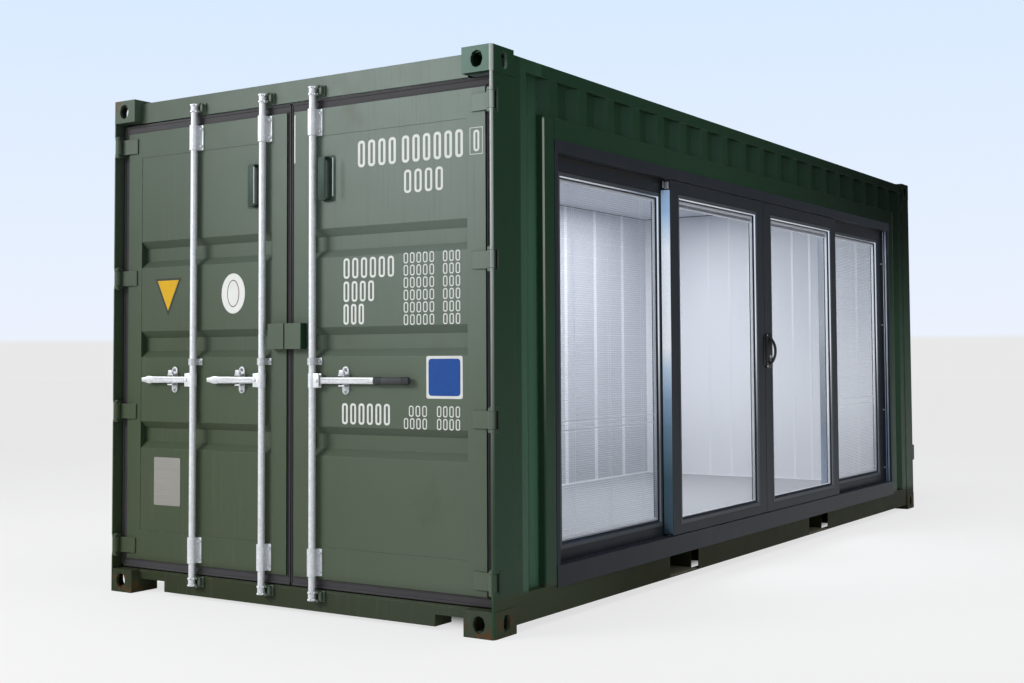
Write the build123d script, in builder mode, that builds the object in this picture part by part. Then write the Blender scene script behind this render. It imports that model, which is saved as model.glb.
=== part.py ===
"""A twenty foot shipping container made into a cabin, with a glazed long side.

Frame: origin at the bottom centre, +X along the container towards its closed
front end, the cargo doors at -X, the glazed side at -Y, +Z up, millimetres.
A "setback" is a distance inwards from the face that the corner castings make.
"""
import os
from math import cos, radians, sin

from build123d import *

os.makedirs("parts", exist_ok=True)

# Steel box
length = 6058
width = 2438
height = 2591
casting_length = 178
casting_width = 162
casting_height = 118
casting_side_wall = 16
casting_plate = 28
casting_upright_hole = (124.5, 63.5)
casting_end_hole = (79, 63)
casting_side_hole = (79, 51)
casting_hole_x = 78
casting_hole_y = 81
hole_end_runs = 4
side_setback = 6
rail_drop = 18

# Corner posts
post_setback = 3
post_plate = 11
post_box_width = 62
post_box_wall = 6
post_corner_radius = 8
front_post_plate = 6

# Long rails, floor frame and floor
top_rail_size = 60
rail_wall = 3
bottom_rail_base = 35
bottom_rail_height = 130
bottom_rail_flange = 48
bottom_rail_wall = 4.5
floor_base = 160
floor_thickness = 28
member_height = 122
member_flange = 45
member_wall = 4
member_count_per_bay = 5

# Fork pockets, which sit a little towards the cargo doors
pocket_width = 355
pocket_base = 41
pocket_spacing = 2050
pocket_shift = -130
pocket_plate = 4
pocket_strap_length = 400

# Corrugated steel sheets
sheet = 2
side_flat_out = 72
side_slope = 68
side_flat_in = 70
side_depth = 36
end_flat_out = 110
end_slope = 18
end_flat_in = 104
end_depth = 45.6
roof_flat_out = 91
roof_slope = 14
roof_flat_in = 90
roof_depth = 20
roof_crest_rise = 6

# Cargo doorway
frame_setback = 52
header_height = 106
header_depth = 96
sill_base = 16
sill_top = 118
sill_edge_chamfer = 8
sill_notch_length = 191
sill_notch_height = 54
stop_setback = 108

# Cargo door leaves
leaf_setback = 50
leaf_depth = 50
leaf_base = 170
leaf_top_drop = 174
leaf_edge_setback = 69
leaf_centre_gap = 48
leaf_stile = 100
leaf_top_rail = 134
leaf_bottom_rail = 151
leaf_wall = 4
panel_recess = 1.5
groove_pitch_share = 0.21
groove_height = 140
groove_floor = 66
groove_depth = 36

# Rubber seal round each leaf
seal_lip = 45
seal_thickness = 14
seal_setback = 60
seal_gap = 7

# Door hinges
pin_setback = 20
pin_radius = 8
pin_clearance = 0.4
pin_sides = 12
eye_radius = 19
eye_sides = 20
blade_height = 78
blade_end_setback = 139
blade_thickness = 7
blade_bend_y = 40
hinge_end_inset = 70
hinge_count = 4
lug_thickness = 14
lug_reach = 46
lug_width = 34
lug_clearance = 1
lug_chamfer = 6
hinge_notch_depth = 54

# Locking bars
bar_radius = 17
bar_clearance = 0.4
bar_setback = 25
inner_bar_y = 163
outer_bar_y = 638
cam_radius = 21
cam_sides = 8
cam_ear = 24
cam_ear_width = 20
cam_height = 44
cam_above_header_base = 11
cam_below_sill_top = 48
hub_radius = 20
hub_height = 72
clevis_reach = 50
clevis_depth = 22
handle_z = 1110
handle_height = 30
handle_thickness = 8
short_handle = 364
long_handle = 377
grip_length = 204
grip_height = 36
grip_thickness = 26
grip_corner = 9
retainer_offset = 155
long_retainer_offset = 189
retainer_height = 133
retainer_width = 40
retainer_plate = 5
retainer_corner = 11
retainer_arm_spacing = 50
retainer_arm = 8
retainer_setback = 12
bearing_height = 130
bearing_top_inset = 3
bearing_bottom_inset = 14
bearing_radius = 24
strap_corner = 12
bearing_plate = 4
bearing_half_width = 43
guide_base = 1184
guide_height = 34
keeper_offset = 30
keeper_width = 50
keeper_height = 52
keeper_plate = 9
keeper_jaw = 12
keeper_jaw_width = 20
keeper_jaw_setback = 13.5
keeper_web_width = 34
keeper_web_setback = 24

# Door fittings
lock_box_width = 102
lock_box_base = 1261
lock_box_height = 124
lock_box_wall = 5
lock_box_setback = 5
lock_box_gap = 8
grab_y = 230
grab_base_drop = 447
grab_height = 207
grab_corner = 14
grab_width = 40
grab_bar = 6
grab_reach = 38

# Glazed opening
opening_end_run = 529
opening_top_drop = 351
tube_size = 100
tube_setback = 2
tube_radius = 8
tube_wall = 5

# Glazing frame
glaze_depth = 124
jamb_width = 30
head_height = 60
sill_height = 85
sill_lip_height = 15
sill_lip_thickness = 5.7

# Glazed panels
panel_thickness = 50
sliding_setback = 2
fixed_setback = 60
panel_gap = 5
sliding_outer_stile = 125
meeting_stile = 133.5
fixed_inner_stile = 90
fixed_outer_stile = 123
stile_overlap = 55
panel_overlap = 60
panel_top_rail = 105
panel_bottom_rail = 85
glass_setback = 13
glass_thickness = 24
bead_depth = 10
bead_width = 24
roller_radius = 14
roller_width = 10
roller_inset = 150
rest_gap = 0.3

# Pull handles on the sliding panel
pull_x = 64
pull_base = 1140
pull_height = 217
pull_plate_width = 38
pull_plate_thickness = 8
pull_bow_reach = 42
pull_bow_bar = 12
pull_bow_inset = 18

# Insulated lining
lining_thickness = 45
board_thickness = 22
ceiling_drop = 141

# Power inlet on the front end
inlet_width = 90
inlet_height = 122
inlet_base = 376
inlet_reach = 40
inlet_corner = 8

# Worked out from the sizes above
rear = -length / 2
front = length / 2
back = width / 2
rail_face = back - side_setback
rail_top = height - rail_drop
rail_under = rail_top - top_rail_size
bottom_rail_top = bottom_rail_base + bottom_rail_height
floor_top = floor_base + floor_thickness
wall_start = rear + casting_length
wall_end = front - casting_length
wall_run = wall_end - wall_start
wall_inner = rail_face - side_depth - sheet
post_inner_y = back - post_setback - post_plate - post_box_width
leaf_x = rear + leaf_setback
leaf_top = height - leaf_top_drop
leaf_inner_y = leaf_centre_gap / 2
leaf_outer_y = back - leaf_edge_setback
leaf_height = leaf_top - leaf_base
leaf_middle = (leaf_top + leaf_base) / 2
groove_pitch = leaf_height * groove_pitch_share
pin_x = rear + pin_setback
pin_y = back - pin_setback
hinge_pitch = (leaf_height - 2 * hinge_end_inset) / (hinge_count - 1)
hinge_heights = [leaf_base + hinge_end_inset + i * hinge_pitch for i in range(hinge_count)]
lug_stack = blade_height + 2 * (lug_clearance + lug_thickness)
bar_x = rear + bar_setback
header_base = rail_top - header_height
cam_top_base = header_base + cam_above_header_base
cam_bottom_base = sill_top - cam_below_sill_top
bearing_top_base = leaf_top - bearing_height - bearing_top_inset
bearing_bottom_base = leaf_base + bearing_bottom_inset
grab_base = leaf_top - grab_base_drop
sill_seat = bottom_rail_top
opening_top = height - opening_top_drop
lining_clear_top = height - ceiling_drop
glaze_sill_top = sill_seat + sill_height
glaze_head_base = opening_top - head_height
half_opening = length / 2 - opening_end_run
jamb_inner = half_opening - jamb_width
sliding_panel_edge = jamb_inner / 2 + panel_overlap
member_start_y = rail_face - bottom_rail_flange
pocket_centres = [pocket_shift - pocket_spacing / 2, pocket_shift + pocket_spacing / 2]
glass_base = glaze_sill_top + panel_bottom_rail
glass_top = glaze_head_base - panel_top_rail
lining_left = wall_start
lining_right = front - side_setback - end_depth - sheet - lining_thickness


def block(x, y, z, mode=Mode.ADD):
    """A plain block between pairs of x, y and z."""
    with Locations(((x[0] + x[1]) / 2, (y[0] + y[1]) / 2, (z[0] + z[1]) / 2)):
        Box(abs(x[1] - x[0]), abs(y[1] - y[0]), abs(z[1] - z[0]), mode=mode)


def rectangle(a, b, mode=Mode.ADD):
    """A rectangle in the current sketch between pairs of its two coordinates."""
    with Locations(((a[0] + a[1]) / 2, (b[0] + b[1]) / 2)):
        Rectangle(abs(a[1] - a[0]), abs(b[1] - b[0]), mode=mode)


def corrugation(run, flat_out, slope, flat_in, depth, thickness):
    """Outline of a corrugated sheet: along the run, then outwards depth."""
    pitch = flat_out + 2 * slope + flat_in
    count = int((run - flat_out) // pitch)
    margin = (run - flat_out - count * pitch) / 2
    crest = [(0, 0)]
    for i in range(count):
        start = margin + flat_out + i * pitch
        crest += [
            (start, 0),
            (start + slope, -depth),
            (start + slope + flat_in, -depth),
            (start + 2 * slope + flat_in, 0),
        ]
    crest.append((run, 0))
    return crest + [(a, b - thickness) for a, b in reversed(crest)]


def export(named):
    """Write each sub-part under its own name."""
    for name, builder in named.items():
        builder.part.label = name
        export_step(builder.part, f"parts/{name}.step")


# Corner castings: hollow blocks with an oblong hole in each outer face
def oblong(length, width):
    """An upright oblong whose round ends are made of short straight runs."""
    reach = (length - width) / 2
    points = []
    for side, start in ((1, 0), (-1, 180)):
        for run in range(hole_end_runs + 1):
            angle = radians(start + run * 180 / hole_end_runs)
            points.append((width / 2 * cos(angle), side * reach + width / 2 * sin(angle)))
    Polygon(*points, align=None)


def corner_casting(base, upright):
    """One casting at the front back corner, with its open plate up or down."""
    near_x = front - casting_length
    near_y = back - casting_width
    with BuildPart() as casting:
        block((near_x, front), (near_y, back), (base, base + casting_height))
        corners = casting.edges().filter_by(Axis.Z).sort_by(Axis.X)[-2:].sort_by(Axis.Y)[-1:]
        fillet(corners, post_corner_radius * 2)
        block(
            (near_x + casting_side_wall, front - casting_side_wall),
            (near_y + casting_side_wall, back - casting_side_wall),
            (base + casting_plate, base + casting_height - casting_plate),
            mode=Mode.SUBTRACT,
        )
        centre_z = base + casting_height / 2
        with BuildSketch(Plane.XY.offset(base + (casting_height / 2 if upright else -1))):
            with Locations(Location((near_x + casting_hole_x, near_y + casting_hole_y), (0, 0, 90))):
                oblong(*casting_upright_hole)
        extrude(amount=casting_height / 2 + 1, mode=Mode.SUBTRACT)
        with BuildSketch(Plane.YZ.offset(front - casting_side_wall - 1)):
            with Locations((near_y + casting_hole_y, centre_z)):
                oblong(*casting_end_hole)
        extrude(amount=casting_side_wall + 2, mode=Mode.SUBTRACT)
        with BuildSketch(Plane.XZ.offset(-back - 1)):
            with Locations((near_x + casting_hole_x, centre_z)):
                oblong(*casting_side_hole)
        extrude(amount=casting_side_wall + 2, mode=Mode.SUBTRACT)
    return casting


with BuildPart() as top_corner_castings:
    add(corner_casting(height - casting_height, True).part)
    mirror(about=Plane.YZ)
    mirror(about=Plane.XZ)

with BuildPart() as bottom_corner_castings:
    add(corner_casting(0, False).part)
    mirror(about=Plane.YZ)
    mirror(about=Plane.XZ)

# Rear corner posts: an outer plate that shields the door edge, and a box
# section behind it that the door seal closes against
with BuildPart() as rear_corner_posts:
    with BuildSketch(Plane.XY.offset(casting_height)):
        rectangle(
            (rear + post_setback, wall_start),
            (back - post_setback - post_plate, back - post_setback),
        )
        chamfer(vertices().sort_by(Axis.X)[:2].sort_by(Axis.Y)[-1:], post_corner_radius / 2)
        rectangle(
            (rear + stop_setback, wall_start),
            (post_inner_y, back - post_setback - post_plate),
        )
        rectangle(
            (rear + stop_setback + post_box_wall, wall_start - post_box_wall),
            (post_inner_y + post_box_wall, back - post_setback - post_plate),
            mode=Mode.SUBTRACT,
        )
    extrude(amount=height - 2 * casting_height)
    for hinge_z in hinge_heights:
        block(
            (rear, rear + hinge_notch_depth),
            (back - post_setback - post_plate - 1, back),
            (hinge_z - lug_stack / 2, hinge_z + lug_stack / 2),
            mode=Mode.SUBTRACT,
        )
    mirror(about=Plane.XZ)

# Front corner posts: folded angle sections
with BuildPart() as front_corner_posts:
    with BuildSketch(Plane.XY.offset(casting_height)):
        rectangle(
            (wall_end, front - post_setback),
            (back - casting_width, back - post_setback),
        )
        fillet(vertices().sort_by(Axis.X)[-2:].sort_by(Axis.Y)[-1:], post_corner_radius)
        rectangle(
            (wall_end - 1, front - post_setback - front_post_plate),
            (back - casting_width - 1, back - post_setback - front_post_plate),
            mode=Mode.SUBTRACT,
        )
    extrude(amount=height - 2 * casting_height)
    mirror(about=Plane.XZ)

# Door header and door sill
with BuildPart() as door_header:
    block(
        (rear + frame_setback, rear + frame_setback + header_depth),
        (casting_width - back, back - casting_width),
        (header_base, rail_top),
    )
    block(
        (rear + stop_setback, rear + frame_setback + header_depth),
        (-post_inner_y, post_inner_y),
        (header_base, height - casting_height),
    )
    block(
        (rear + frame_setback + rail_wall, rear + frame_setback + header_depth - rail_wall),
        (casting_width - back + rail_wall, back - casting_width - rail_wall),
        (header_base + rail_wall, rail_top - rail_wall),
        mode=Mode.SUBTRACT,
    )

with BuildPart() as door_sill:
    block(
        (rear + frame_setback, wall_start),
        (casting_width - back, back - casting_width),
        (sill_base, sill_top),
    )
    block((rear + stop_setback, wall_start), (-post_inner_y, post_inner_y), (casting_height, floor_top))
    for side in (-1, 1):
        inner = side * (back - casting_width - sill_notch_length)
        block(
            (rear, wall_start + 1),
            sorted((inner, side * back)),
            (0, sill_base + sill_notch_height),
            mode=Mode.SUBTRACT,
        )
    sill_front_edges = door_sill.edges().filter_by(Axis.Y).group_by(Axis.X)[0]
    chamfer(sill_front_edges.sort_by(Axis.Z)[-1:], sill_edge_chamfer)

# Rails of the closed front end
with BuildPart() as front_end_rails:
    block(
        (front - side_setback - top_rail_size, front - side_setback),
        (casting_width - back, back - casting_width),
        (rail_under, rail_top),
    )
    block(
        (front - side_setback - top_rail_size, front - side_setback),
        (casting_width - back, back - casting_width),
        (bottom_rail_base, bottom_rail_top),
    )

# Long rails: square tubes above, channels with their web outwards below
with BuildPart() as top_side_rails:
    with BuildSketch(Plane.YZ.offset(wall_start)):
        rectangle((rail_face - top_rail_size, rail_face), (rail_under, rail_top))
        rectangle(
            (rail_face - top_rail_size + rail_wall, rail_face - rail_wall),
            (rail_under + rail_wall, rail_top - rail_wall),
            mode=Mode.SUBTRACT,
        )
    extrude(amount=wall_run)
    mirror(about=Plane.XZ)

with BuildPart() as bottom_side_rails:
    with BuildSketch(Plane.YZ.offset(wall_start)):
        rectangle((member_start_y, rail_face), (bottom_rail_base, bottom_rail_top))
        rectangle(
            (member_start_y - 1, rail_face - bottom_rail_wall),
            (bottom_rail_base + bottom_rail_wall, bottom_rail_top - bottom_rail_wall),
            mode=Mode.SUBTRACT,
        )
    extrude(amount=wall_run)
    for centre in pocket_centres:
        block(
            (centre - pocket_width / 2, centre + pocket_width / 2),
            (member_start_y, back),
            (pocket_base, floor_base - pocket_plate),
            mode=Mode.SUBTRACT,
        )
    mirror(about=Plane.XZ)

# Fork pockets: a tunnel of plates under the floor, closed below at its ends
with BuildPart() as fork_pockets:
    for centre in pocket_centres:
        outer = pocket_width / 2 + pocket_plate
        block(
            (centre - outer, centre + outer),
            (-member_start_y, member_start_y),
            (pocket_base, floor_base),
        )
        block(
            (centre - pocket_width / 2, centre + pocket_width / 2),
            (-member_start_y - 1, member_start_y + 1),
            (pocket_base - 1, floor_base - pocket_plate),
            mode=Mode.SUBTRACT,
        )
        for side in (-1, 1):
            block(
                (centre - outer, centre + outer),
                sorted((side * member_start_y, side * (member_start_y - pocket_strap_length))),
                (bottom_rail_base, pocket_base),
            )

# Cross members: channels between the long rails, clear of the fork pockets
member_bays = [
    (wall_start, pocket_centres[0] - pocket_width / 2),
    (pocket_centres[0] + pocket_width / 2, pocket_centres[1] - pocket_width / 2),
    (pocket_centres[1] + pocket_width / 2, front - side_setback - top_rail_size),
]
with BuildPart() as cross_members:
    for bay_start, bay_end in member_bays:
        pitch = (bay_end - bay_start) / (member_count_per_bay + 1)
        for i in range(member_count_per_bay):
            member_x = bay_start + (i + 1) * pitch - member_flange / 2
            with BuildSketch(Plane.XZ.offset(-member_start_y)):
                rectangle((member_x, member_x + member_flange), (floor_base - member_height, floor_base))
                rectangle(
                    (member_x + member_wall, member_x + member_flange + 1),
                    (floor_base - member_height + member_wall, floor_base - member_wall),
                    mode=Mode.SUBTRACT,
                )
            extrude(amount=2 * member_start_y)

# Roof, closed end wall and long back wall, all of corrugated sheet
with BuildPart() as roof_panel:
    roof_start = rear + frame_setback + header_depth
    roof_run = front - side_setback - top_rail_size - roof_start
    outline = corrugation(roof_run, roof_flat_out, roof_slope, roof_flat_in, roof_depth, sheet)
    with BuildSketch(Plane.XZ):
        with BuildLine():
            Polyline([(roof_start + a, rail_top + roof_crest_rise + b) for a, b in outline], close=True)
        make_face()
    extrude(amount=rail_face - top_rail_size, both=True)
    for x_side in (-1, 1):
        for y_side in (-1, 1):
            block(
                sorted((x_side * front, x_side * (front - casting_length))),
                sorted((y_side * back, y_side * (back - casting_width))),
                (height - casting_height, height + 1),
                mode=Mode.SUBTRACT,
            )

with BuildPart() as front_wall:
    end_run = width - 2 * casting_width
    outline = corrugation(end_run, end_flat_out, end_slope, end_flat_in, end_depth, sheet)
    with BuildSketch(Plane.XY.offset(bottom_rail_top)):
        with BuildLine():
            Polyline([(front - side_setback + b, a - end_run / 2) for a, b in outline], close=True)
        make_face()
    extrude(amount=rail_under - bottom_rail_top)


def side_sheet(side):
    """The corrugated long wall on one side, over its whole run."""
    outline = corrugation(wall_run, side_flat_out, side_slope, side_flat_in, side_depth, sheet)
    with BuildSketch(Plane.XY.offset(bottom_rail_top)) as profile:
        with BuildLine():
            Polyline([(wall_start + a, side * (rail_face + b)) for a, b in outline], close=True)
        make_face()
    extrude(profile.sketch, amount=rail_under - bottom_rail_top)


with BuildPart() as back_wall:
    side_sheet(1)

tube_outer = half_opening + tube_size
lintel_top = opening_top + tube_size

with BuildPart() as walls_beside_glazing:
    side_sheet(-1)
    block((-tube_outer, tube_outer), (-back - 1, 0), (0, height), mode=Mode.SUBTRACT)

with BuildPart() as wall_above_glazing:
    side_sheet(-1)
    block((-tube_outer, tube_outer), (-back - 1, 0), (lintel_top, height), mode=Mode.INTERSECT)

# Steel tube frame welded into the glazed side
tube_face = tube_setback - back
with BuildPart() as opening_posts:
    with BuildSketch(Plane.XY.offset(bottom_rail_top)):
        with Locations((half_opening + tube_size / 2, tube_face + tube_size / 2)):
            RectangleRounded(tube_size, tube_size, tube_radius)
            Rectangle(tube_size - 2 * tube_wall, tube_size - 2 * tube_wall, mode=Mode.SUBTRACT)
    extrude(amount=lintel_top - bottom_rail_top)
    mirror(about=Plane.YZ)

with BuildPart() as opening_lintel:
    with BuildSketch(Plane.YZ.offset(-half_opening)):
        with Locations((tube_face + tube_size / 2, opening_top + tube_size / 2)):
            Rectangle(tube_size, tube_size)
            Rectangle(tube_size - 2 * tube_wall, tube_size - 2 * tube_wall, mode=Mode.SUBTRACT)
    extrude(amount=2 * half_opening)

# Plywood floor, cut back round the opening posts and the glazing frame
with BuildPart() as cabin_floor:
    block(
        (wall_start, front - side_setback - top_rail_size),
        (-member_start_y, member_start_y),
        (floor_base, floor_top),
    )
    for half_run, inner_face in (
        (tube_outer + rest_gap, tube_face + tube_size + rest_gap),
        (half_opening, glaze_depth + rest_gap - back),
    ):
        block((-half_run, half_run), (-back, inner_face), (0, height), mode=Mode.SUBTRACT)

# Insulated lining and ceiling
with BuildPart() as back_lining:
    block(
        (lining_left, lining_right),
        (wall_inner - lining_thickness, wall_inner),
        (floor_top, lining_clear_top),
    )

with BuildPart() as front_lining:
    block(
        (lining_right, lining_right + lining_thickness),
        (glaze_depth - back, wall_inner),
        (floor_top, lining_clear_top),
    )

with BuildPart() as lining_beside_glazing:
    for x_pair in ((lining_left, -half_opening), (half_opening, lining_right)):
        block(
            x_pair,
            (tube_face + tube_size, tube_face + tube_size + board_thickness),
            (floor_top, lining_clear_top),
        )

with BuildPart() as lining_above_glazing:
    block(
        (-half_opening, half_opening),
        (tube_face + tube_size, tube_face + tube_size + board_thickness),
        (opening_top, lining_clear_top),
    )

with BuildPart() as ceiling:
    block(
        (lining_left, lining_right + lining_thickness),
        (tube_face + tube_size, wall_inner),
        (lining_clear_top, lining_clear_top + board_thickness),
    )

# Glazing frame: a head, a sill with a drip lip over the rail, and jambs
with BuildPart() as glazing_head:
    block((-half_opening, half_opening), (-back, glaze_depth - back), (glaze_head_base, opening_top))

with BuildPart() as glazing_sill:
    block((-half_opening, half_opening), (-back, glaze_depth - back), (sill_seat, glaze_sill_top))
    block(
        (-half_opening, half_opening),
        (-back, sill_lip_thickness - back),
        (sill_seat - sill_lip_height, sill_seat),
    )

with BuildPart() as glazing_jambs:
    block(
        (jamb_inner, half_opening),
        (sliding_setback - back, glaze_depth - back),
        (glaze_sill_top, glaze_head_base),
    )
    mirror(about=Plane.YZ)


def panel_ring(x_pair, z_pair, glass_pair, setback):
    """An aluminium panel frame with a bevelled bead round the glass on both faces."""
    with BuildSketch(Plane.XZ.offset(back - setback)) as profile:
        rectangle(x_pair, z_pair)
        rectangle(glass_pair, (glass_base, glass_top), mode=Mode.SUBTRACT)
    extrude(profile.sketch, amount=-panel_thickness)
    for face, inward in ((setback - back, 1), (setback - back + panel_thickness, -1)):
        with BuildSketch(Plane.XZ.offset(-face)) as wide:
            rectangle(
                (glass_pair[0] - bead_width, glass_pair[1] + bead_width),
                (glass_base - bead_width, glass_top + bead_width),
            )
        with BuildSketch(Plane.XZ.offset(-face - inward * bead_depth)) as narrow:
            rectangle(glass_pair, (glass_base, glass_top))
        loft([wide.sketch, narrow.sketch], mode=Mode.SUBTRACT)


fixed_inner = sliding_panel_edge - stile_overlap
fixed_glass = (fixed_inner + fixed_inner_stile, jamb_inner - fixed_outer_stile)
sliding_glass = (panel_gap / 2 + meeting_stile, sliding_panel_edge - sliding_outer_stile)

with BuildPart() as fixed_panel_frames:
    panel_ring((fixed_inner, jamb_inner), (glaze_sill_top, glaze_head_base), fixed_glass, fixed_setback)
    mirror(about=Plane.YZ)

with BuildPart() as fixed_panes:
    pane_y = fixed_setback + glass_setback - back
    block(fixed_glass, (pane_y, pane_y + glass_thickness), (glass_base, glass_top))
    mirror(about=Plane.YZ)

with BuildPart() as right_sliding_frame:
    panel_ring(
        (panel_gap / 2, sliding_panel_edge),
        (glaze_sill_top + panel_gap, glaze_head_base - panel_gap),
        sliding_glass,
        sliding_setback,
    )
    for roller_x in (roller_inset, sliding_panel_edge - roller_inset):
        roller_z = glaze_sill_top + rest_gap + roller_radius
        roller_y = sliding_setback + panel_thickness / 2 - back
        with Locations(Location((roller_x, roller_y, roller_z), (90, 0, 0))):
            Cylinder(roller_radius, roller_width)

with BuildPart() as left_sliding_frame:
    mirror(right_sliding_frame.part, about=Plane.YZ)

with BuildPart() as right_sliding_pane:
    pane_y = sliding_setback + glass_setback - back
    block(sliding_glass, (pane_y, pane_y + glass_thickness), (glass_base, glass_top))

with BuildPart() as left_sliding_pane:
    mirror(right_sliding_pane.part, about=Plane.YZ)


def pull_bow(face_y, outward):
    """A flat bow handle standing out from a face."""
    low = pull_base + pull_bow_inset
    high = pull_base + pull_height - pull_bow_inset
    middle = (low + high) / 2
    with BuildSketch(Plane.YZ.offset(pull_x - pull_bow_bar / 2)) as profile:
        with BuildLine():
            ThreePointArc((face_y, low), (face_y + outward * pull_bow_reach, middle), (face_y, high))
            Line((face_y, high), (face_y, low))
        make_face()
        with BuildLine():
            inner_low = (face_y, low + 2 * pull_bow_bar)
            inner_high = (face_y, high - 2 * pull_bow_bar)
            peak = (face_y + outward * (pull_bow_reach - pull_bow_bar), middle)
            ThreePointArc(inner_low, peak, inner_high)
            Line(inner_high, inner_low)
        make_face(mode=Mode.SUBTRACT)
    extrude(profile.sketch, amount=pull_bow_bar)


with BuildPart() as door_pulls:
    outer_face = sliding_setback - back
    inner_face = outer_face + panel_thickness
    x_pair = (pull_x - pull_plate_width / 2, pull_x + pull_plate_width / 2)
    z_pair = (pull_base, pull_base + pull_height)
    block(x_pair, (outer_face - pull_plate_thickness, outer_face), z_pair)
    block(x_pair, (inner_face, inner_face + pull_plate_thickness), z_pair)
    pull_bow(outer_face - pull_plate_thickness, -1)
    pull_bow(inner_face + pull_plate_thickness, 1)

# Cargo door leaves: a tube and channel frame with its hinge blades, a pressed
# panel with three grooves, and a rubber seal, modelled on the left and mirrored
with BuildPart() as left_door_frame:
    with BuildSketch(Plane.XY.offset(leaf_base)):
        for stile_y in (leaf_inner_y + leaf_stile / 2, leaf_outer_y - leaf_stile / 2):
            with Locations((leaf_x + leaf_depth / 2, stile_y)):
                Rectangle(leaf_depth, leaf_stile)
                Rectangle(leaf_depth - 2 * leaf_wall, leaf_stile - 2 * leaf_wall, mode=Mode.SUBTRACT)
    extrude(amount=leaf_height)
    with BuildSketch(Plane.XZ.offset(leaf_stile - leaf_outer_y)):
        for z_pair in ((leaf_base, leaf_base + leaf_bottom_rail), (leaf_top - leaf_top_rail, leaf_top)):
            rectangle((leaf_x, leaf_x + leaf_depth), z_pair)
            rectangle(
                (leaf_x + leaf_wall, leaf_x + leaf_depth + 1),
                (z_pair[0] + leaf_wall, z_pair[1] - leaf_wall),
                mode=Mode.SUBTRACT,
            )
    extrude(amount=leaf_outer_y - leaf_inner_y - 2 * leaf_stile)
    for hinge_z in hinge_heights:
        with BuildSketch(Plane.XY.offset(hinge_z - blade_height / 2)):
            with BuildLine():
                Polyline(
                    (leaf_x, pin_y - pin_radius / 4),
                    (leaf_x, back - blade_end_setback),
                    (leaf_x - blade_thickness, back - blade_end_setback),
                    (pin_x + 2 * pin_radius + 1, pin_y - blade_bend_y),
                    (pin_x + eye_radius * 2 / 3, pin_y - eye_radius * 2 / 3),
                    (pin_x + 2 * pin_radius, pin_y + pin_radius),
                    close=True,
                )
            make_face()
            with Locations((pin_x, pin_y)):
                RegularPolygon(eye_radius, eye_sides)
                Circle(pin_radius + pin_clearance, mode=Mode.SUBTRACT)
        extrude(amount=blade_height)

with BuildPart() as right_door_frame:
    mirror(left_door_frame.part, about=Plane.XZ)

panel_low = leaf_base + leaf_bottom_rail
panel_high = leaf_top - leaf_top_rail
panel_face = leaf_x + panel_recess
groove_run = (groove_height - groove_floor) / 2
face_line = [(panel_face, panel_low)]
for groove in (-1, 0, 1):
    groove_z = leaf_middle + groove * groove_pitch
    face_line += [
        (panel_face, groove_z - groove_height / 2),
        (panel_face + groove_depth, groove_z - groove_height / 2 + groove_run),
        (panel_face + groove_depth, groove_z + groove_height / 2 - groove_run),
        (panel_face, groove_z + groove_height / 2),
    ]
face_line.append((panel_face, panel_high))

with BuildPart() as left_door_panel:
    with BuildSketch(Plane.XZ.offset(leaf_stile - leaf_outer_y)):
        with BuildLine():
            Polyline(face_line + [(a + sheet, b) for a, b in reversed(face_line)], close=True)
        make_face()
    extrude(amount=leaf_outer_y - leaf_inner_y - 2 * leaf_stile)

with BuildPart() as right_door_panel:
    mirror(left_door_panel.part, about=Plane.XZ)

with BuildPart() as left_door_seal:
    with BuildSketch(Plane.YZ.offset(rear + seal_setback)):
        rectangle(
            (seal_gap / 2, leaf_outer_y + seal_lip),
            (leaf_base - seal_lip, leaf_top + seal_lip),
        )
        rectangle((leaf_inner_y, leaf_outer_y), (leaf_base, leaf_top), mode=Mode.SUBTRACT)
    extrude(amount=seal_thickness)

with BuildPart() as right_door_seal:
    mirror(left_door_seal.part, about=Plane.XZ)

# Hinge lugs on the rear posts, each pair joined by its pin
with BuildPart() as hinge_lugs:
    for hinge_z in hinge_heights:
        for lug_base in (hinge_z - lug_stack / 2, hinge_z + lug_stack / 2 - lug_thickness):
            with BuildSketch(Plane.XY.offset(lug_base)):
                rectangle(
                    (rear + post_setback, rear + lug_reach),
                    (back - lug_width, back - post_setback),
                )
                chamfer(vertices().sort_by(Axis.X)[:2], lug_chamfer)
            extrude(amount=lug_thickness)
        with BuildSketch(Plane.XY.offset(hinge_z - lug_stack / 2)):
            with Locations((pin_x, pin_y)):
                RegularPolygon(pin_radius, pin_sides)
        extrude(amount=lug_stack)
    mirror(about=Plane.XZ)


def bearing(bar_y, base, tall, seat_x):
    """A bolted plate with a strap that wraps round the front of a locking bar."""
    with BuildSketch(Plane.XY.offset(base)) as profile:
        rectangle(
            (bar_x - bearing_radius, leaf_x),
            (bar_y - bearing_radius, bar_y + bearing_radius),
        )
        chamfer(profile.vertices().sort_by(Axis.X)[:2], strap_corner)
        rectangle(
            (leaf_x - bearing_plate, seat_x),
            (bar_y - bearing_half_width, bar_y + bearing_half_width),
        )
        with Locations((bar_x, bar_y)):
            Circle(bar_radius + bar_clearance, mode=Mode.SUBTRACT)
    extrude(profile.sketch, amount=tall)


def retainer(at_y):
    """A bolted plate with two arms that the resting handle lies between."""
    half = retainer_height / 2
    y_pair = (at_y - retainer_width / 2, at_y + retainer_width / 2)
    with BuildSketch(Plane.YZ.offset(leaf_x - retainer_plate)) as plate:
        rectangle(y_pair, (handle_z - half, handle_z + half))
        chamfer(plate.vertices(), retainer_corner)
    extrude(plate.sketch, amount=retainer_plate + panel_recess)
    for arm_z in (handle_z - retainer_arm_spacing / 2, handle_z + retainer_arm_spacing / 2):
        block(
            (rear + retainer_setback, panel_face),
            y_pair,
            (arm_z - retainer_arm / 2, arm_z + retainer_arm / 2),
        )


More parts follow.
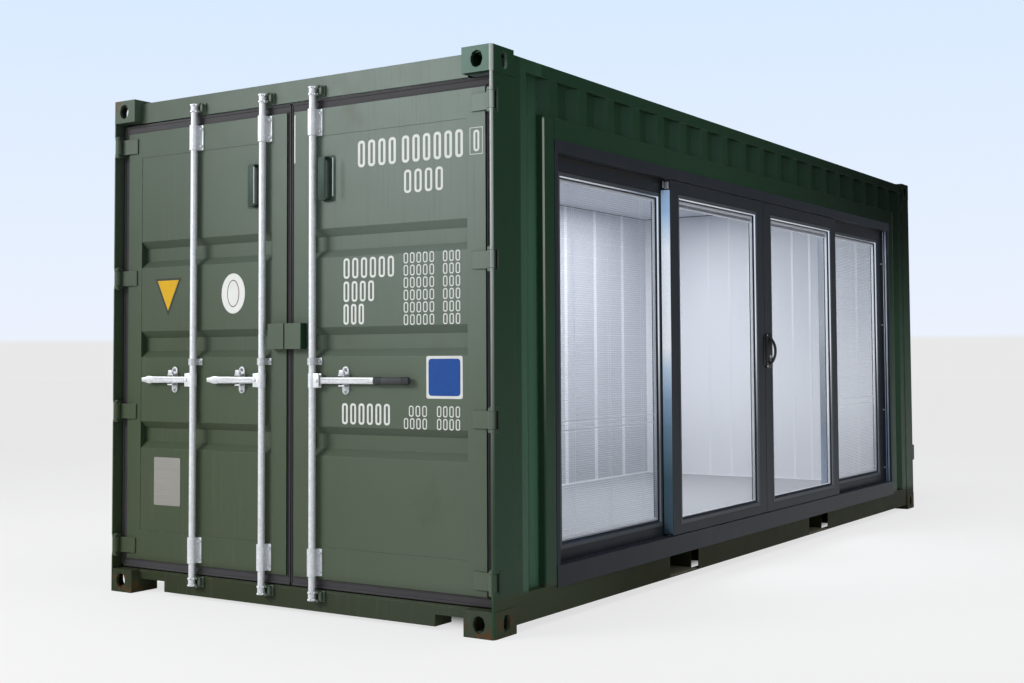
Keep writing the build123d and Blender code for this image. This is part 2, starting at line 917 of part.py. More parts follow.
def door_gear(bars, retainers):
    """Bearings and handle retainers of one leaf; each bar has a y and a guide seat."""
    for bar_y, guide_seat in bars:
        bearing(bar_y, bearing_top_base, bearing_height, leaf_x)
        bearing(bar_y, bearing_bottom_base, bearing_height, leaf_x)
        bearing(bar_y, guide_base, guide_height, guide_seat)
    for at_y in retainers:
        retainer(at_y)


with BuildPart() as left_door_gear:
    door_gear(
        ((inner_bar_y, leaf_x), (outer_bar_y, panel_face)),
        (inner_bar_y + retainer_offset, outer_bar_y + retainer_offset),
    )

with BuildPart() as right_door_gear:
    door_gear(((-inner_bar_y, leaf_x),), (-inner_bar_y - long_retainer_offset,))


def locking_bar(bar_y, direction, reach):
    """A bar with a cam at each end, and a flat handle in a clevis on a hub."""
    low = cam_bottom_base
    high = cam_top_base + cam_height
    with BuildSketch(Plane.XY.offset(low)) as shaft:
        with Locations((bar_x, bar_y)):
            Circle(bar_radius)
    extrude(shaft.sketch, amount=high - low)
    for cam_base in (cam_bottom_base, cam_top_base):
        with BuildSketch(Plane.XY.offset(cam_base)) as cam:
            with Locations((bar_x, bar_y)):
                RegularPolygon(cam_radius, cam_sides, rotation=180 / cam_sides)
            rectangle((bar_x - cam_ear, bar_x), (bar_y - cam_ear_width / 2, bar_y + cam_ear_width / 2))
            rectangle((bar_x - cam_ear_width / 2, bar_x + cam_ear_width / 2), (bar_y - cam_ear, bar_y))
        extrude(cam.sketch, amount=cam_height)
    with BuildSketch(Plane.XY.offset(handle_z - hub_height / 2)) as hub:
        with Locations((bar_x, bar_y)):
            Circle(hub_radius)
        rectangle(
            (bar_x - clevis_depth / 2, bar_x + clevis_depth / 2),
            sorted((bar_y, bar_y + direction * clevis_reach)),
        )
    extrude(hub.sketch, amount=hub_height)
    with BuildSketch(Plane.YZ.offset(bar_x - handle_thickness / 2)) as handle:
        rectangle(
            (bar_y, bar_y + direction * (reach - handle_height / 2)),
            (handle_z - handle_height / 2, handle_z + handle_height / 2),
        )
        with Locations((bar_y + direction * (reach - handle_height / 2), handle_z)):
            Circle(handle_height / 2)
    extrude(handle.sketch, amount=handle_thickness)


with BuildPart() as left_outer_bar:
    locking_bar(outer_bar_y, 1, short_handle)

with BuildPart() as left_inner_bar:
    locking_bar(inner_bar_y, 1, short_handle)

with BuildPart() as right_bar:
    locking_bar(-inner_bar_y, -1, long_handle)

with BuildPart() as handle_grip:
    grip_start = -inner_bar_y - long_handle - rest_gap
    with BuildSketch(Plane.XZ.offset(-grip_start)):
        with Locations((bar_x, handle_z)):
            RectangleRounded(grip_thickness, grip_height, grip_corner)
    extrude(amount=grip_length)

# Keepers on the header and the sill, beside each bar's cams: two jaws and a web
# between them on a plate
with BuildPart() as lock_keepers:
    keeper_seat = rear + frame_setback
    for bar_y in (outer_bar_y, inner_bar_y, -inner_bar_y):
        near = bar_y - keeper_offset
        for cam_base in (cam_bottom_base, cam_top_base):
            low = cam_base + (cam_height - keeper_height) / 2
            high = low + keeper_height
            block((keeper_seat - keeper_plate, keeper_seat), (near - keeper_width, near), (low, high))
            block((rear + keeper_web_setback, keeper_seat), (near - keeper_web_width, near), (low, high))
            for jaw in ((low, low + keeper_jaw), (high - keeper_jaw, high)):
                block((rear + keeper_jaw_setback, keeper_seat), (near - keeper_jaw_width, near), jaw)

# Lock box in two halves, open below, and a grab handle on each leaf
lock_box_inner = lock_box_gap / 2
with BuildPart() as left_door_fittings:
    block(
        (rear + lock_box_setback, leaf_x),
        (lock_box_inner, lock_box_inner + lock_box_width),
        (lock_box_base, lock_box_base + lock_box_height),
    )
    block(
        (rear + lock_box_setback + lock_box_wall, leaf_x + 1),
        (0, lock_box_inner + lock_box_width - lock_box_wall),
        (0, lock_box_base + lock_box_height - lock_box_wall),
        mode=Mode.SUBTRACT,
    )
    with BuildSketch(Plane.XZ.offset(-grab_y - grab_width / 2)):
        rectangle((leaf_x - grab_reach, panel_face), (grab_base, grab_base + grab_height))
        fillet(vertices().sort_by(Axis.X)[:2], grab_corner)
        rectangle(
            (leaf_x - grab_reach + grab_bar, panel_face + 1),
            (grab_base + grab_bar, grab_base + grab_height - grab_bar),
            mode=Mode.SUBTRACT,
        )
    extrude(amount=grab_width)

with BuildPart() as right_door_fittings:
    mirror(left_door_fittings.part, about=Plane.XZ)

# Power inlet box on the front end, by the glazed side
with BuildPart() as power_inlet:
    inlet_y = side_setback - back
    block(
        (front - post_setback, front + inlet_reach),
        (inlet_y, inlet_y + inlet_width),
        (inlet_base, inlet_base + inlet_height),
    )
    fillet(power_inlet.edges().filter_by(Axis.X), inlet_corner)

export(
    {
        "top_corner_castings": top_corner_castings,
        "bottom_corner_castings": bottom_corner_castings,
        "rear_corner_posts": rear_corner_posts,
        "front_corner_posts": front_corner_posts,
        "door_header": door_header,
        "door_sill": door_sill,
        "front_end_rails": front_end_rails,
        "top_side_rails": top_side_rails,
        "bottom_side_rails": bottom_side_rails,
        "fork_pockets": fork_pockets,
        "cross_members": cross_members,
        "roof_panel": roof_panel,
        "front_wall": front_wall,
        "back_wall": back_wall,
        "walls_beside_glazing": walls_beside_glazing,
        "wall_above_glazing": wall_above_glazing,
        "opening_posts": opening_posts,
        "opening_lintel": opening_lintel,
        "cabin_floor": cabin_floor,
        "back_lining": back_lining,
        "front_lining": front_lining,
        "lining_beside_glazing": lining_beside_glazing,
        "lining_above_glazing": lining_above_glazing,
        "ceiling": ceiling,
        "glazing_head": glazing_head,
        "glazing_sill": glazing_sill,
        "glazing_jambs": glazing_jambs,
        "fixed_panel_frames": fixed_panel_frames,
        "fixed_panes": fixed_panes,
        "left_sliding_frame": left_sliding_frame,
        "left_sliding_pane": left_sliding_pane,
        "right_sliding_frame": right_sliding_frame,
        "right_sliding_pane": right_sliding_pane,
        "door_pulls": door_pulls,
        "left_door_frame": left_door_frame,
        "left_door_panel": left_door_panel,
        "left_door_seal": left_door_seal,
        "left_door_gear": left_door_gear,
        "left_door_fittings": left_door_fittings,
        "right_door_frame": right_door_frame,
        "right_door_panel": right_door_panel,
        "right_door_seal": right_door_seal,
        "right_door_gear": right_door_gear,
        "right_door_fittings": right_door_fittings,
        "hinge_lugs": hinge_lugs,
        "left_outer_bar": left_outer_bar,
        "left_inner_bar": left_inner_bar,
        "right_bar": right_bar,
        "handle_grip": handle_grip,
        "lock_keepers": lock_keepers,
        "power_inlet": power_inlet,
    }
)
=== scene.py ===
"""Finish, fittings and studio for a glazed shipping container cabin, in metres."""
from math import cos, pi, radians, sin, tau

import bmesh
import bpy
from mathutils import Matrix, Vector


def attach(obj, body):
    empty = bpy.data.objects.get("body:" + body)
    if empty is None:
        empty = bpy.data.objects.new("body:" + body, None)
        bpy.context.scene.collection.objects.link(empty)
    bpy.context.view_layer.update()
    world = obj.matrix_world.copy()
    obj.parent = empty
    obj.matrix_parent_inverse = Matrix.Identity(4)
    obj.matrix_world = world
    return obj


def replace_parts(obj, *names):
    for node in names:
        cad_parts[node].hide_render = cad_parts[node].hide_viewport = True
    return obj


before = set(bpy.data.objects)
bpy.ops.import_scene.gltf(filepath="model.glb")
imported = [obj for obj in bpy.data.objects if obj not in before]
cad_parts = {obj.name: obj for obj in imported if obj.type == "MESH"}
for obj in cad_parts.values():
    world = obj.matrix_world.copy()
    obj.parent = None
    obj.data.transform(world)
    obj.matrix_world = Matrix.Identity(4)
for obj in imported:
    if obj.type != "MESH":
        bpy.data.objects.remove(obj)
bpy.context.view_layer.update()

# Planes and places that the solids give
rear = -3.029
glazed_side = -1.219
leaf_face = rear + 0.050
panel_face = leaf_face + 0.0015
end_frame_face = rear + 0.052
leaves = {"left_door": 1, "right_door": -1}
room_rear = -2.851
room_front = 2.9304
room_glazed = -1.094
room_back = 1.130

# Locking bars as places across the door end and the side that their handle points to
bar_x = rear + 0.025
bar_radius = 0.017
bars = {"left_outer_bar": (0.638, 1), "left_inner_bar": (0.163, 1), "right_bar": (-0.163, -1)}
retainer_places = {"left_door": (0.318, 0.793), "right_door": (-0.352,)}
handle_z = 1.110
handle_half = 0.015
handle_reach = {1: 0.364, -1: 0.377}
cam_bases = (0.070, 2.478)
cam_height = 0.044
bearing_bases = (0.184, 2.284)
bearing_height = 0.130
guide_base = 1.184
guide_height = 0.034
hinge_heights = (0.240, 0.9423, 1.6447, 2.347)
pin_x = rear + 0.020
pin_y = 1.199

# Panes as left, right, setback and body
panes = {
    "left_fixed": (-2.347, -1.330, 0.060, "container"),
    "left_sliding": (-1.170, -0.136, 0.002, "left_sliding_panel"),
    "right_sliding": (0.136, 1.170, 0.002, "right_sliding_panel"),
    "right_fixed": (1.330, 2.347, 0.060, "container"),
}
glass_low = 0.335
glass_high = 2.075
glass_setback = 0.013
sheet_thick = 0.004
unit_depth = 0.024
sliding_edge = 1.295
fixed_edge = 1.240
jamb_face = 2.4705

smooth_angle = radians(35)


# Pairs of places for blocks
def span(side, first, second, middle=0.0):
    """Two places on one side of a middle, the lower one first."""
    return sorted((middle + side * first, middle + side * second))


def about(middle, half):
    return middle - half, middle + half


def inward(first, second):
    """Two depths behind the glazed side's outer plane."""
    return glazed_side + first, glazed_side + second


# Making pieces
def piece(name, mesh, finish, body):
    """Makes an object of a finished bmesh and lets it ride on a body."""
    data = bpy.data.meshes.new(name)
    mesh.to_mesh(data)
    mesh.free()
    data.materials.append(finish)
    data.shade_smooth()
    data.set_sharp_from_angle(angle=smooth_angle)
    made = bpy.data.objects.new(name, data)
    bpy.context.scene.collection.objects.link(made)
    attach(made, body)
    return made


def facing(at, outward=(0, 0, 1), turn=0.0):
    """The place of a fitting whose own +Z looks outward, turned about it."""
    look = Vector(outward).to_track_quat("Z", "Y").to_matrix().to_4x4()
    return Matrix.Translation(at) @ look @ Matrix.Rotation(turn, 4, "Z")


def edges_at(verts):
    """All edges that meet some corners."""
    return {edge for vert in verts for edge in vert.link_edges}


def rounded(mesh, edges, radius, segments=2):
    """Rounds some edges."""
    return bmesh.ops.bevel(
        mesh,
        geom=list(edges),
        offset=radius,
        offset_type="OFFSET",
        segments=segments,
        profile=0.5,
        affect="EDGES",
        clamp_overlap=True,
        material=-1,
    )


def block(mesh, x, y, z, radius=0.0, segments=2):
    """A block between pairs of x, y and z, with its edges rounded."""
    centre = Vector(((x[0] + x[1]) / 2, (y[0] + y[1]) / 2, (z[0] + z[1]) / 2))
    size = (abs(x[1] - x[0]), abs(y[1] - y[0]), abs(z[1] - z[0]), 1)
    made = bmesh.ops.create_cube(mesh, size=1, matrix=Matrix.Translation(centre) @ Matrix.Diagonal(size))
    if radius:
        rounded(mesh, edges_at(made["verts"]), radius, segments)


def slab(mesh, place, width, height, depth, corner=0.0, edge=0.0):
    """A plate standing on a face: its corners and its outer edge rounded."""
    size = Matrix.Diagonal((width, height, depth, 1))
    made = bmesh.ops.create_cube(mesh, size=1, matrix=place @ Matrix.Translation((0, 0, depth / 2)) @ size)
    verts = made["verts"]
    outward = place.to_3x3() @ Vector((0, 0, 1))
    if corner:
        upright = [
            e for e in edges_at(verts)
            if abs((e.verts[0].co - e.verts[1].co).normalized().dot(outward)) > 0.9
        ]
        done = rounded(mesh, upright, corner, 3)
        verts = list({v for f in done["faces"] for v in f.verts} | {v for v in verts if v.is_valid})
    if edge:
        top = place.translation.dot(outward) + depth
        rim = [
            e for e in edges_at(verts)
            if all(abs(v.co.dot(outward) - top) < 1e-5 for v in e.verts) and len(e.link_faces) == 2
            and abs(e.link_faces[0].normal.dot(e.link_faces[1].normal)) < 0.5
        ]
        rounded(mesh, rim, edge)


def turned(mesh, place, profile, steps=24):
    """A piece turned on a lathe: profile is pairs of radius and height."""
    before = set(mesh.verts)
    ring = [mesh.verts.new(place @ Vector((radius, 0, height))) for radius, height in profile]
    edges = [mesh.edges.new(pair) for pair in zip(ring, ring[1:])]
    axis = place.to_3x3() @ Vector((0, 0, 1))
    bmesh.ops.spin(
        mesh, geom=ring + edges, cent=place.translation, axis=axis, angle=tau, steps=steps, use_merge=True,
    )
    made = [v for v in mesh.verts if v not in before]
    bmesh.ops.remove_doubles(mesh, verts=made, dist=1e-6)
    made = [v for v in mesh.verts if v not in before]
    bmesh.ops.recalc_face_normals(mesh, faces=list({f for v in made for f in v.link_faces}))


def sleeve(mesh, place, outer, inner, tall, round_by=0.001, steps=28):
    """A short tube with softened rims."""
    profile = [
        (inner, 0),
        (outer - round_by, 0),
        (outer, round_by),
        (outer, tall - round_by),
        (outer - round_by, tall),
        (inner, tall),
        (inner, 0),
    ]
    turned(mesh, place, profile, steps)


def bolt(mesh, at, outward, across):
    """A hexagon head on a washer, standing on a face, with the shank's end in its middle."""
    place = facing(at, outward, 0.3)
    washer = across * 0.72
    washer_top = 0.002
    head_tall = 0.007
    head_top = washer_top + head_tall
    shank = 0.0042
    turned(
        mesh, place,
        [(0, 0), (washer, 0), (washer, 0.0014), (washer - 0.0006, washer_top), (0, washer_top)], 14,
    )
    head = bmesh.ops.create_cone(
        mesh, cap_ends=True, segments=6, radius1=across / 2, radius2=across / 2, depth=head_tall,
        matrix=place @ Matrix.Translation((0, 0, washer_top + head_tall / 2)),
    )
    outward = place.to_3x3() @ Vector((0, 0, 1))
    rim = [
        e for e in edges_at(head["verts"])
        if all((v.co - place.translation).dot(outward) > head_top - 0.001 for v in e.verts)
    ]
    rounded(mesh, rim, 0.0012, 1)
    tip = [(0, head_top), (shank, head_top), (shank, 0.0115), (0.0034, 0.0125), (0, 0.0125)]
    turned(mesh, place, tip, 10)


# Making finishes
def colour(red, green, blue):
    return (red, green, blue, 1.0)


class Nodes:
    """A node tree, emptied and then written one node at a time."""

    def __init__(self, tree):
        self.tree = tree
        tree.nodes.clear()

    def node(self, kind, inputs=None, **settings):
        """A node, with inputs that are values or other nodes' outputs."""
        made = self.tree.nodes.new(kind)
        for key, value in settings.items():
            setattr(made, key, value)
        for key, value in (inputs or {}).items():
            if isinstance(value, bpy.types.NodeSocket):
                self.tree.links.new(value, made.inputs[key])
            else:
                made.inputs[key].default_value = value
        return made

    def steps(self, value, low, high):
        """0 below low, 1 above high, smooth between; the other way round if low is above high."""
        made = self.node(
            "ShaderNodeMapRange",
            {"Value": value, "From Min": min(low, high), "From Max": max(low, high),
             "To Min": float(low > high), "To Max": float(low < high)},
            interpolation_type="SMOOTHSTEP",
        )
        return made.outputs[0]

    def spread(self, value, low, high):
        """A pattern of 0 to 1 spread from low to high."""
        return self.node("ShaderNodeMapRange", {"Value": value, "To Min": low, "To Max": high}).outputs[0]

    def ramp(self, value, stops):
        """A colour that changes through pairs of value and colour."""
        made = self.node("ShaderNodeValToRGB", {0: value})
        band = made.color_ramp
        while len(band.elements) < len(stops):
            band.elements.new(0.5)
        for element, (at, shade) in zip(band.elements, stops):
            element.position = at
            element.color = colour(*shade)
        return made.outputs[0]

    def calc(self, operation, first, second=0.0):
        """Arithmetic on two values."""
        return self.node("ShaderNodeMath", {0: first, 1: second}, operation=operation).outputs[0]

    def product(self, first, *factors):
        """Values multiplied together, such as masks that all have to hold."""
        for factor in factors:
            first = self.calc("MULTIPLY", first, factor)
        return first

    def larger(self, first, second):
        return self.calc("MAXIMUM", first, second)

    def mixed(self, factor, first, second):
        """A colour between two."""
        made = self.node("ShaderNodeMix", {0: factor, 6: first, 7: second}, data_type="RGBA")
        return made.outputs[2]

    def over(self, base, share, shade):
        """A shade laid over a base where a mask lets it."""
        return self.mixed(share, base, colour(*shade))

    def rays(self):
        """Masks of the camera's rays alone, and of these with the mirrored and the transmitted ones."""
        ray = self.node("ShaderNodeLightPath").outputs
        through = self.larger(ray["Is Glossy Ray"], ray["Is Transmission Ray"])
        return ray["Is Camera Ray"], self.larger(ray["Is Camera Ray"], through)


class Finish(Nodes):
    """A material whose patterns lie in its object's own coordinates."""

    def __init__(self, name):
        self.material = bpy.data.materials.new(name)
        self.material.use_nodes = True
        super().__init__(self.material.node_tree)
        coordinates = self.node("ShaderNodeTexCoord").outputs
        self.place = coordinates["Object"]
        self.outward = coordinates["Normal"]

    def noise(self, scale, detail=3.0, stretch=None):
        """Cloudy pattern; stretch gives it another scale on each axis."""
        place = self.place
        if stretch:
            place = self.node("ShaderNodeMapping", {"Vector": place, "Scale": stretch}).outputs["Vector"]
        made = self.node("ShaderNodeTexNoise", {"Vector": place, "Scale": scale, "Detail": detail})
        return made.outputs[0]

    def mottled(self, dark, light, scale, detail=3.0, stretch=None):
        """A colour clouded between a dark and a light one."""
        return self.mixed(self.noise(scale, detail, stretch), colour(*dark), colour(*light))

    def grains(self, scale):
        """Crystal pattern: each grain has its own grey."""
        made = self.node("ShaderNodeTexVoronoi", {"Vector": self.place, "Scale": scale})
        return self.node("ShaderNodeSeparateColor", {"Color": made.outputs["Color"]}).outputs[0]

    def axis(self, number):
        """One of the object's own coordinates."""
        return self.node("ShaderNodeSeparateXYZ", {"Vector": self.place}).outputs[number]

    def leaning(self, number):
        """How far the surface faces along one axis, from -1 to 1."""
        return self.node("ShaderNodeSeparateXYZ", {"Vector": self.outward}).outputs[number]

    def bumps(self, height, strength, distance, normal=None):
        """Surface relief from a pattern."""
        inputs = {"Height": height, "Strength": strength, "Distance": distance}
        if normal:
            inputs["Normal"] = normal
        return self.node("ShaderNodeBump", inputs).outputs[0]

    def soft_edges(self, radius):
        """Normals that round the piece's sharp edges."""
        return self.node("ShaderNodeBevel", {"Radius": radius}, samples=4).outputs[0]

    def edge_wear(self, radius):
        """1 at the piece's edges and 0 on its faces."""
        flat = self.node("ShaderNodeNewGeometry").outputs["Normal"]
        made = self.node(
            "ShaderNodeVectorMath", {0: self.soft_edges(radius), 1: flat}, operation="DOT_PRODUCT"
        )
        return self.steps(made.outputs["Value"], 0.995, 0.90)

    def blended(self, share, first, second):
        """Closes the material with a mix of two shaders."""
        return self.close(self.node("ShaderNodeMixShader", {0: share, 1: first, 2: second}).outputs[0])

    def close(self, shader):
        """Puts a shader on the surface and gives the material."""
        self.node("ShaderNodeOutputMaterial", {"Surface": shader})
        return self.material

    def surface(self, **sockets):
        """Closes the material with one main shader."""
        inputs = {key.replace("_", " "): value for key, value in sockets.items()}
        return self.close(self.node("ShaderNodeBsdfPrincipled", inputs).outputs[0])


def long_side_green(f, away, rail):
    """Deep green, darkened to near black far off as painted shade, brown along the low rail and paler
    towards the door end as painted light, with painted light in the recess and on the pocket floors.
    """
    x, y, z = (f.axis(number) for number in range(3))
    deep = f.mottled((0.012, 0.042, 0.019), (0.018, 0.055, 0.026), 1.6, 4)
    # Painted shade: the side darkens to near black far off and high up.
    deep = f.over(deep, f.product(away, 0.94), (0.002, 0.006, 0.003))
    # Brown dirt along the low rail, with painted light making it paler towards the door end.
    rail_brown_and_light = f.mottled((0.020, 0.020, 0.009), (0.032, 0.032, 0.015), 7, 4)
    rail_brown_and_light = f.over(rail_brown_and_light, f.steps(x, -1.5, -2.6), (0.060, 0.072, 0.042))
    deep = f.mixed(rail, deep, rail_brown_and_light)
    # Painted light: a brighter green on the wall in the recess beside the glazing.
    recess_light_mask = f.product(
        f.steps(y, -1.2165, -1.2145), f.steps(y, -0.9, -1.1),
        f.steps(x, -2.600, -2.612), f.steps(x, -2.795, -2.785),
        f.steps(z, 0.165, 0.175), f.steps(z, 3.0, 1.6),
    )
    painted_recess_light = f.mixed(f.steps(x, -2.70, -2.64), colour(0.047, 0.116, 0.067), colour(0.062, 0.150, 0.088))
    deep = f.mixed(recess_light_mask, deep, painted_recess_light)
    pockets_middle = -0.130
    pocket_run = 1.025
    from_middle = f.calc("ABSOLUTE", f.calc("SUBTRACT", x, pockets_middle))
    from_pocket = f.calc("ABSOLUTE", f.calc("SUBTRACT", from_middle, pocket_run))
    # Painted light: pale olive on the upward faces inside the fork pockets.
    pocket_floor_light_mask = f.product(
        f.steps(from_pocket, 0.20, 0.18), f.steps(y, -0.85, -1.00),
        f.steps(f.leaning(2), 0.5, 0.8), f.steps(z, 0.12, 0.10),
    )
    return f.over(deep, pocket_floor_light_mask, (0.34, 0.31, 0.22))


def door_end_green(f):
    """Pale door end green, partly bleached paint and partly painted sheen: olive low down, chalky high up,
    paler towards the glazed side.
    """
    near = f.steps(f.axis(1), 1.1, -1.2)
    olive = f.mottled((0.044, 0.060, 0.030), (0.058, 0.076, 0.040), 2.3, 5)
    olive = f.over(olive, near, (0.092, 0.118, 0.082))
    chalky = f.mottled((0.056, 0.078, 0.054), (0.070, 0.094, 0.068), 1.9, 5)
    chalky = f.over(chalky, near, (0.165, 0.210, 0.180))
    return f.mixed(f.steps(f.axis(2), 0.5, 2.5), olive, chalky)


def weathered(f, paint, fronts, pale_paint_and_sheen):
    """The door end's dark foot, the near casting's teal, runs and stains."""
    y, z = f.axis(1), f.axis(2)
    paint = f.over(paint, f.product(f.steps(z, 0.22, 0.10), 0.55, pale_paint_and_sheen), (0.022, 0.024, 0.014))
    teal = f.product(f.steps(z, 2.470, 2.474), f.steps(y, -1.05, -1.058), fronts)
    paint = f.over(paint, teal, (0.100, 0.180, 0.142))
    runs = f.steps(f.noise(7, 4, (9, 9, 0.35)), 0.5, 0.75)
    paint = f.over(paint, f.product(runs, 0.20, fronts), (0.10, 0.11, 0.085))
    stains = f.steps(f.noise(2.1, 6), 0.60, 0.74)
    return f.over(paint, f.product(stains, 0.35, fronts), (0.055, 0.056, 0.028))


def rubbed_and_highlit(f, paint):
    """Paint worn along edges, with a painted highlight down the near corner and beside the opening."""
    x, y, z = (f.axis(number) for number in range(3))
    worn = f.product(f.edge_wear(0.004), f.steps(f.noise(26, 4), 0.42, 0.62), 0.45)
    paint = f.over(paint, worn, (0.16, 0.19, 0.15))
    # Painted highlight down the near corner post's edge, brightest high up.
    corner = f.product(f.steps(y, -1.203, -1.206), f.steps(x, -3.010, -3.024))
    corner_highlight = f.mixed(f.steps(z, 0.4, 2.3), colour(0.040, 0.075, 0.042), colour(0.54, 0.58, 0.55))
    paint = f.mixed(corner, paint, corner_highlight)
    # Painted highlight along the opening post's edge.
    out = f.calc("ABSOLUTE", x)
    opening_edge_highlight = f.product(
        f.steps(out, 2.590, 2.593), f.steps(out, 2.607, 2.602), f.steps(y, -1.2085, -1.2125),
        f.steps(z, 0.7, 1.9), f.steps(z, 2.330, 2.320), 0.8,
    )
    return f.over(paint, opening_edge_highlight, (0.52, 0.55, 0.44))


def rust_patches(f, end):
    """Mask of rust on the bottom castings and on the far top casting of the door end."""
    x, y, z = (f.axis(number) for number in range(3))
    low = f.product(
        f.steps(z, 0.14, 0.015), f.steps(f.calc("ABSOLUTE", x), 2.80, 2.90),
        f.steps(f.calc("ABSOLUTE", y), 1.045, 1.060), f.steps(f.noise(24, 6), 0.50, 0.62),
    )
    high = f.product(
        f.steps(z, 2.50, 2.58), f.steps(y, 1.13, 1.20), end, f.steps(f.noise(30, 5), 0.44, 0.56),
    )
    return f.larger(low, high)


def container_paint():
    """Dark green sea paint: paler on the door end, partly bleached and partly painted sheen, with painted
    shade far along the side, painted highlights down the near corner and beside the opening, and wear along
    open edges.
    """
    f = Finish("container_green_paint")
    x, y, z = (f.axis(number) for number in range(3))
    end = f.steps(x, -2.80, -2.95)
    # Faces towards the door end are paler: partly bleached paint, partly painted sheen.
    fronts = f.product(f.steps(f.leaning(0), -0.2, -0.55), end)
    far_post = f.product(f.steps(y, 0.95, 1.10), end, 0.75)
    pale_paint_and_sheen = f.larger(fronts, far_post)
    away = f.product(f.steps(x, -1.2, 3.0), f.steps(z, 1.2, 2.4))
    rail = f.product(f.steps(z, 0.20, 0.15), 0.9)
    paint = f.mixed(pale_paint_and_sheen, long_side_green(f, away, rail), door_end_green(f))
    paint = rubbed_and_highlit(f, weathered(f, paint, fronts, pale_paint_and_sheen))
    rust = rust_patches(f, end)
    paint = f.over(paint, f.product(rust, 0.85), (0.110, 0.052, 0.022))
    skin = f.bumps(f.noise(3.2, 2), 0.35, 0.006, f.soft_edges(0.003))
    skin = f.bumps(f.noise(240, 2), 0.08, 0.001, skin)
    skin = f.bumps(rust, 0.5, 0.001, skin)
    dull = f.larger(f.product(away, 0.75), rail)
    sheen = f.calc("SUBTRACT", 0.16, f.product(dull, 0.15))
    rough = f.spread(f.noise(11, 4), 0.36, 0.52)
    return f.surface(Base_Color=paint, Roughness=rough, Normal=skin, Specular_IOR_Level=sheen)


def keeper_paint():
    """Dark green paint worn to the metal where fittings rub."""
    f = Finish("worn_green_paint")
    worn = f.product(f.edge_wear(0.003), f.steps(f.noise(60, 4), 0.36, 0.6))
    paint = f.mottled((0.040, 0.066, 0.040), (0.060, 0.088, 0.056), 9, 4)
    paint = f.over(paint, worn, (0.22, 0.20, 0.17))
    skin = f.bumps(f.noise(200, 2), 0.12, 0.001, f.soft_edges(0.002))
    return f.surface(Base_Color=paint, Roughness=0.45, Normal=skin)


def galvanised(name, dark, light):
    """Zinc coating with a faint spangle and cloudy dulling."""
    f = Finish(name)
    grain = f.grains(95)
    base = f.mixed(grain, colour(*dark), colour(*light))
    base = f.over(base, f.product(f.steps(f.noise(18, 5), 0.45, 0.75), 0.25), (0.46, 0.47, 0.47))
    rough = f.spread(grain, 0.40, 0.55)
    skin = f.bumps(f.noise(130, 3), 0.08, 0.001)
    return f.surface(Base_Color=base, Metallic=0.45, Roughness=rough, Normal=skin)


def rubber():
    """Dark door seal rubber, a little dusty."""
    f = Finish("door_seal_rubber")
    base = f.mottled((0.021, 0.0185, 0.0195), (0.034, 0.030, 0.032), 14, 5)
    skin = f.bumps(f.noise(170, 3), 0.2, 0.001)
    return f.surface(Base_Color=base, Roughness=0.72, Normal=skin)


def anthracite(name, dark, light):
    """Fine textured dark grey powder coat on aluminium, with more sheen high up."""
    f = Finish(name)
    base = f.mottled(dark, light, 5, 3)
    base = f.over(base, f.product(f.steps(f.noise(9, 5), 0.5, 0.8), 0.10), (0.10, 0.10, 0.105))
    skin = f.bumps(f.noise(900, 2), 0.10, 0.0006, f.soft_edges(0.0016))
    sheen = f.calc("ADD", 0.07, f.product(f.steps(f.axis(2), 0.9, 1.9), 0.15))
    return f.surface(Base_Color=base, Roughness=0.38, Normal=skin, Specular_IOR_Level=sheen)


def profile_with_painted_reflection(name, stops, metallic=0.85):
    """Smooth drawn aluminium with a painted reflection: its colour changes with the height, given as pairs
    of height and colour.
    """
    f = Finish(name)
    per_metre = 0.4
    base = f.ramp(f.product(f.axis(2), per_metre), [(at * per_metre, shade) for at, shade in stops])
    drawn = f.steps(f.noise(4, 4, (1, 60, 1)), 0.3, 0.7)
    base = f.over(base, f.product(drawn, 0.05), (0.20, 0.24, 0.30))
    skin = f.bumps(f.noise(900, 2), 0.05, 0.0004)
    return f.surface(Base_Color=base, Metallic=metallic, Roughness=0.16, Normal=skin)


def plastic(name, dark, light, rough):
    """Moulded black plastic or rubber with a fine grain."""
    f = Finish(name)
    base = f.mottled(dark, light, 30, 4)
    skin = f.bumps(f.noise(700, 2), 0.25, 0.0006, f.soft_edges(0.001))
    return f.surface(Base_Color=base, Roughness=rough, Normal=skin, Specular_IOR_Level=0.3)


def glass():
    """Clear window glass that mirrors softly where it is seen aslant."""
    f = Finish("window_glass")
    clear = f.node("ShaderNodeBsdfTransparent", {"Color": colour(0.974, 0.980, 0.988)}).outputs[0]
    mirror = f.node("ShaderNodeBsdfGlossy", {"Roughness": 0.30}).outputs[0]
    slant = f.node("ShaderNodeLayerWeight", {"Blend": 0.5}).outputs["Facing"]
    share = f.calc("ADD", f.product(f.calc("POWER", slant, 5), 0.5), 0.006)
    return f.blended(share, clear, mirror)


def board_with_painted_shade(name, dark, light, low, high):
    """White faced board with painted shade: it greys towards the floor, the ceiling and the glazed side."""
    f = Finish(name)
    upper = f.steps(f.axis(2), 1.05, 2.05)
    base = f.mottled(dark, light, 1.3, 3)
    base = f.over(base, f.steps(f.axis(2), 0.95, 0.25), low)
    base = f.over(base, upper, high)
    shaded = f.calc("ADD", 0.15, f.product(upper, 0.45))
    base = f.over(base, f.product(f.steps(f.axis(1), 0.55, -0.40), shaded), (0.50, 0.53, 0.58))
    skin = f.bumps(f.noise(320, 2), 0.06, 0.0008)
    return f.surface(Base_Color=base, Roughness=0.5, Normal=skin)


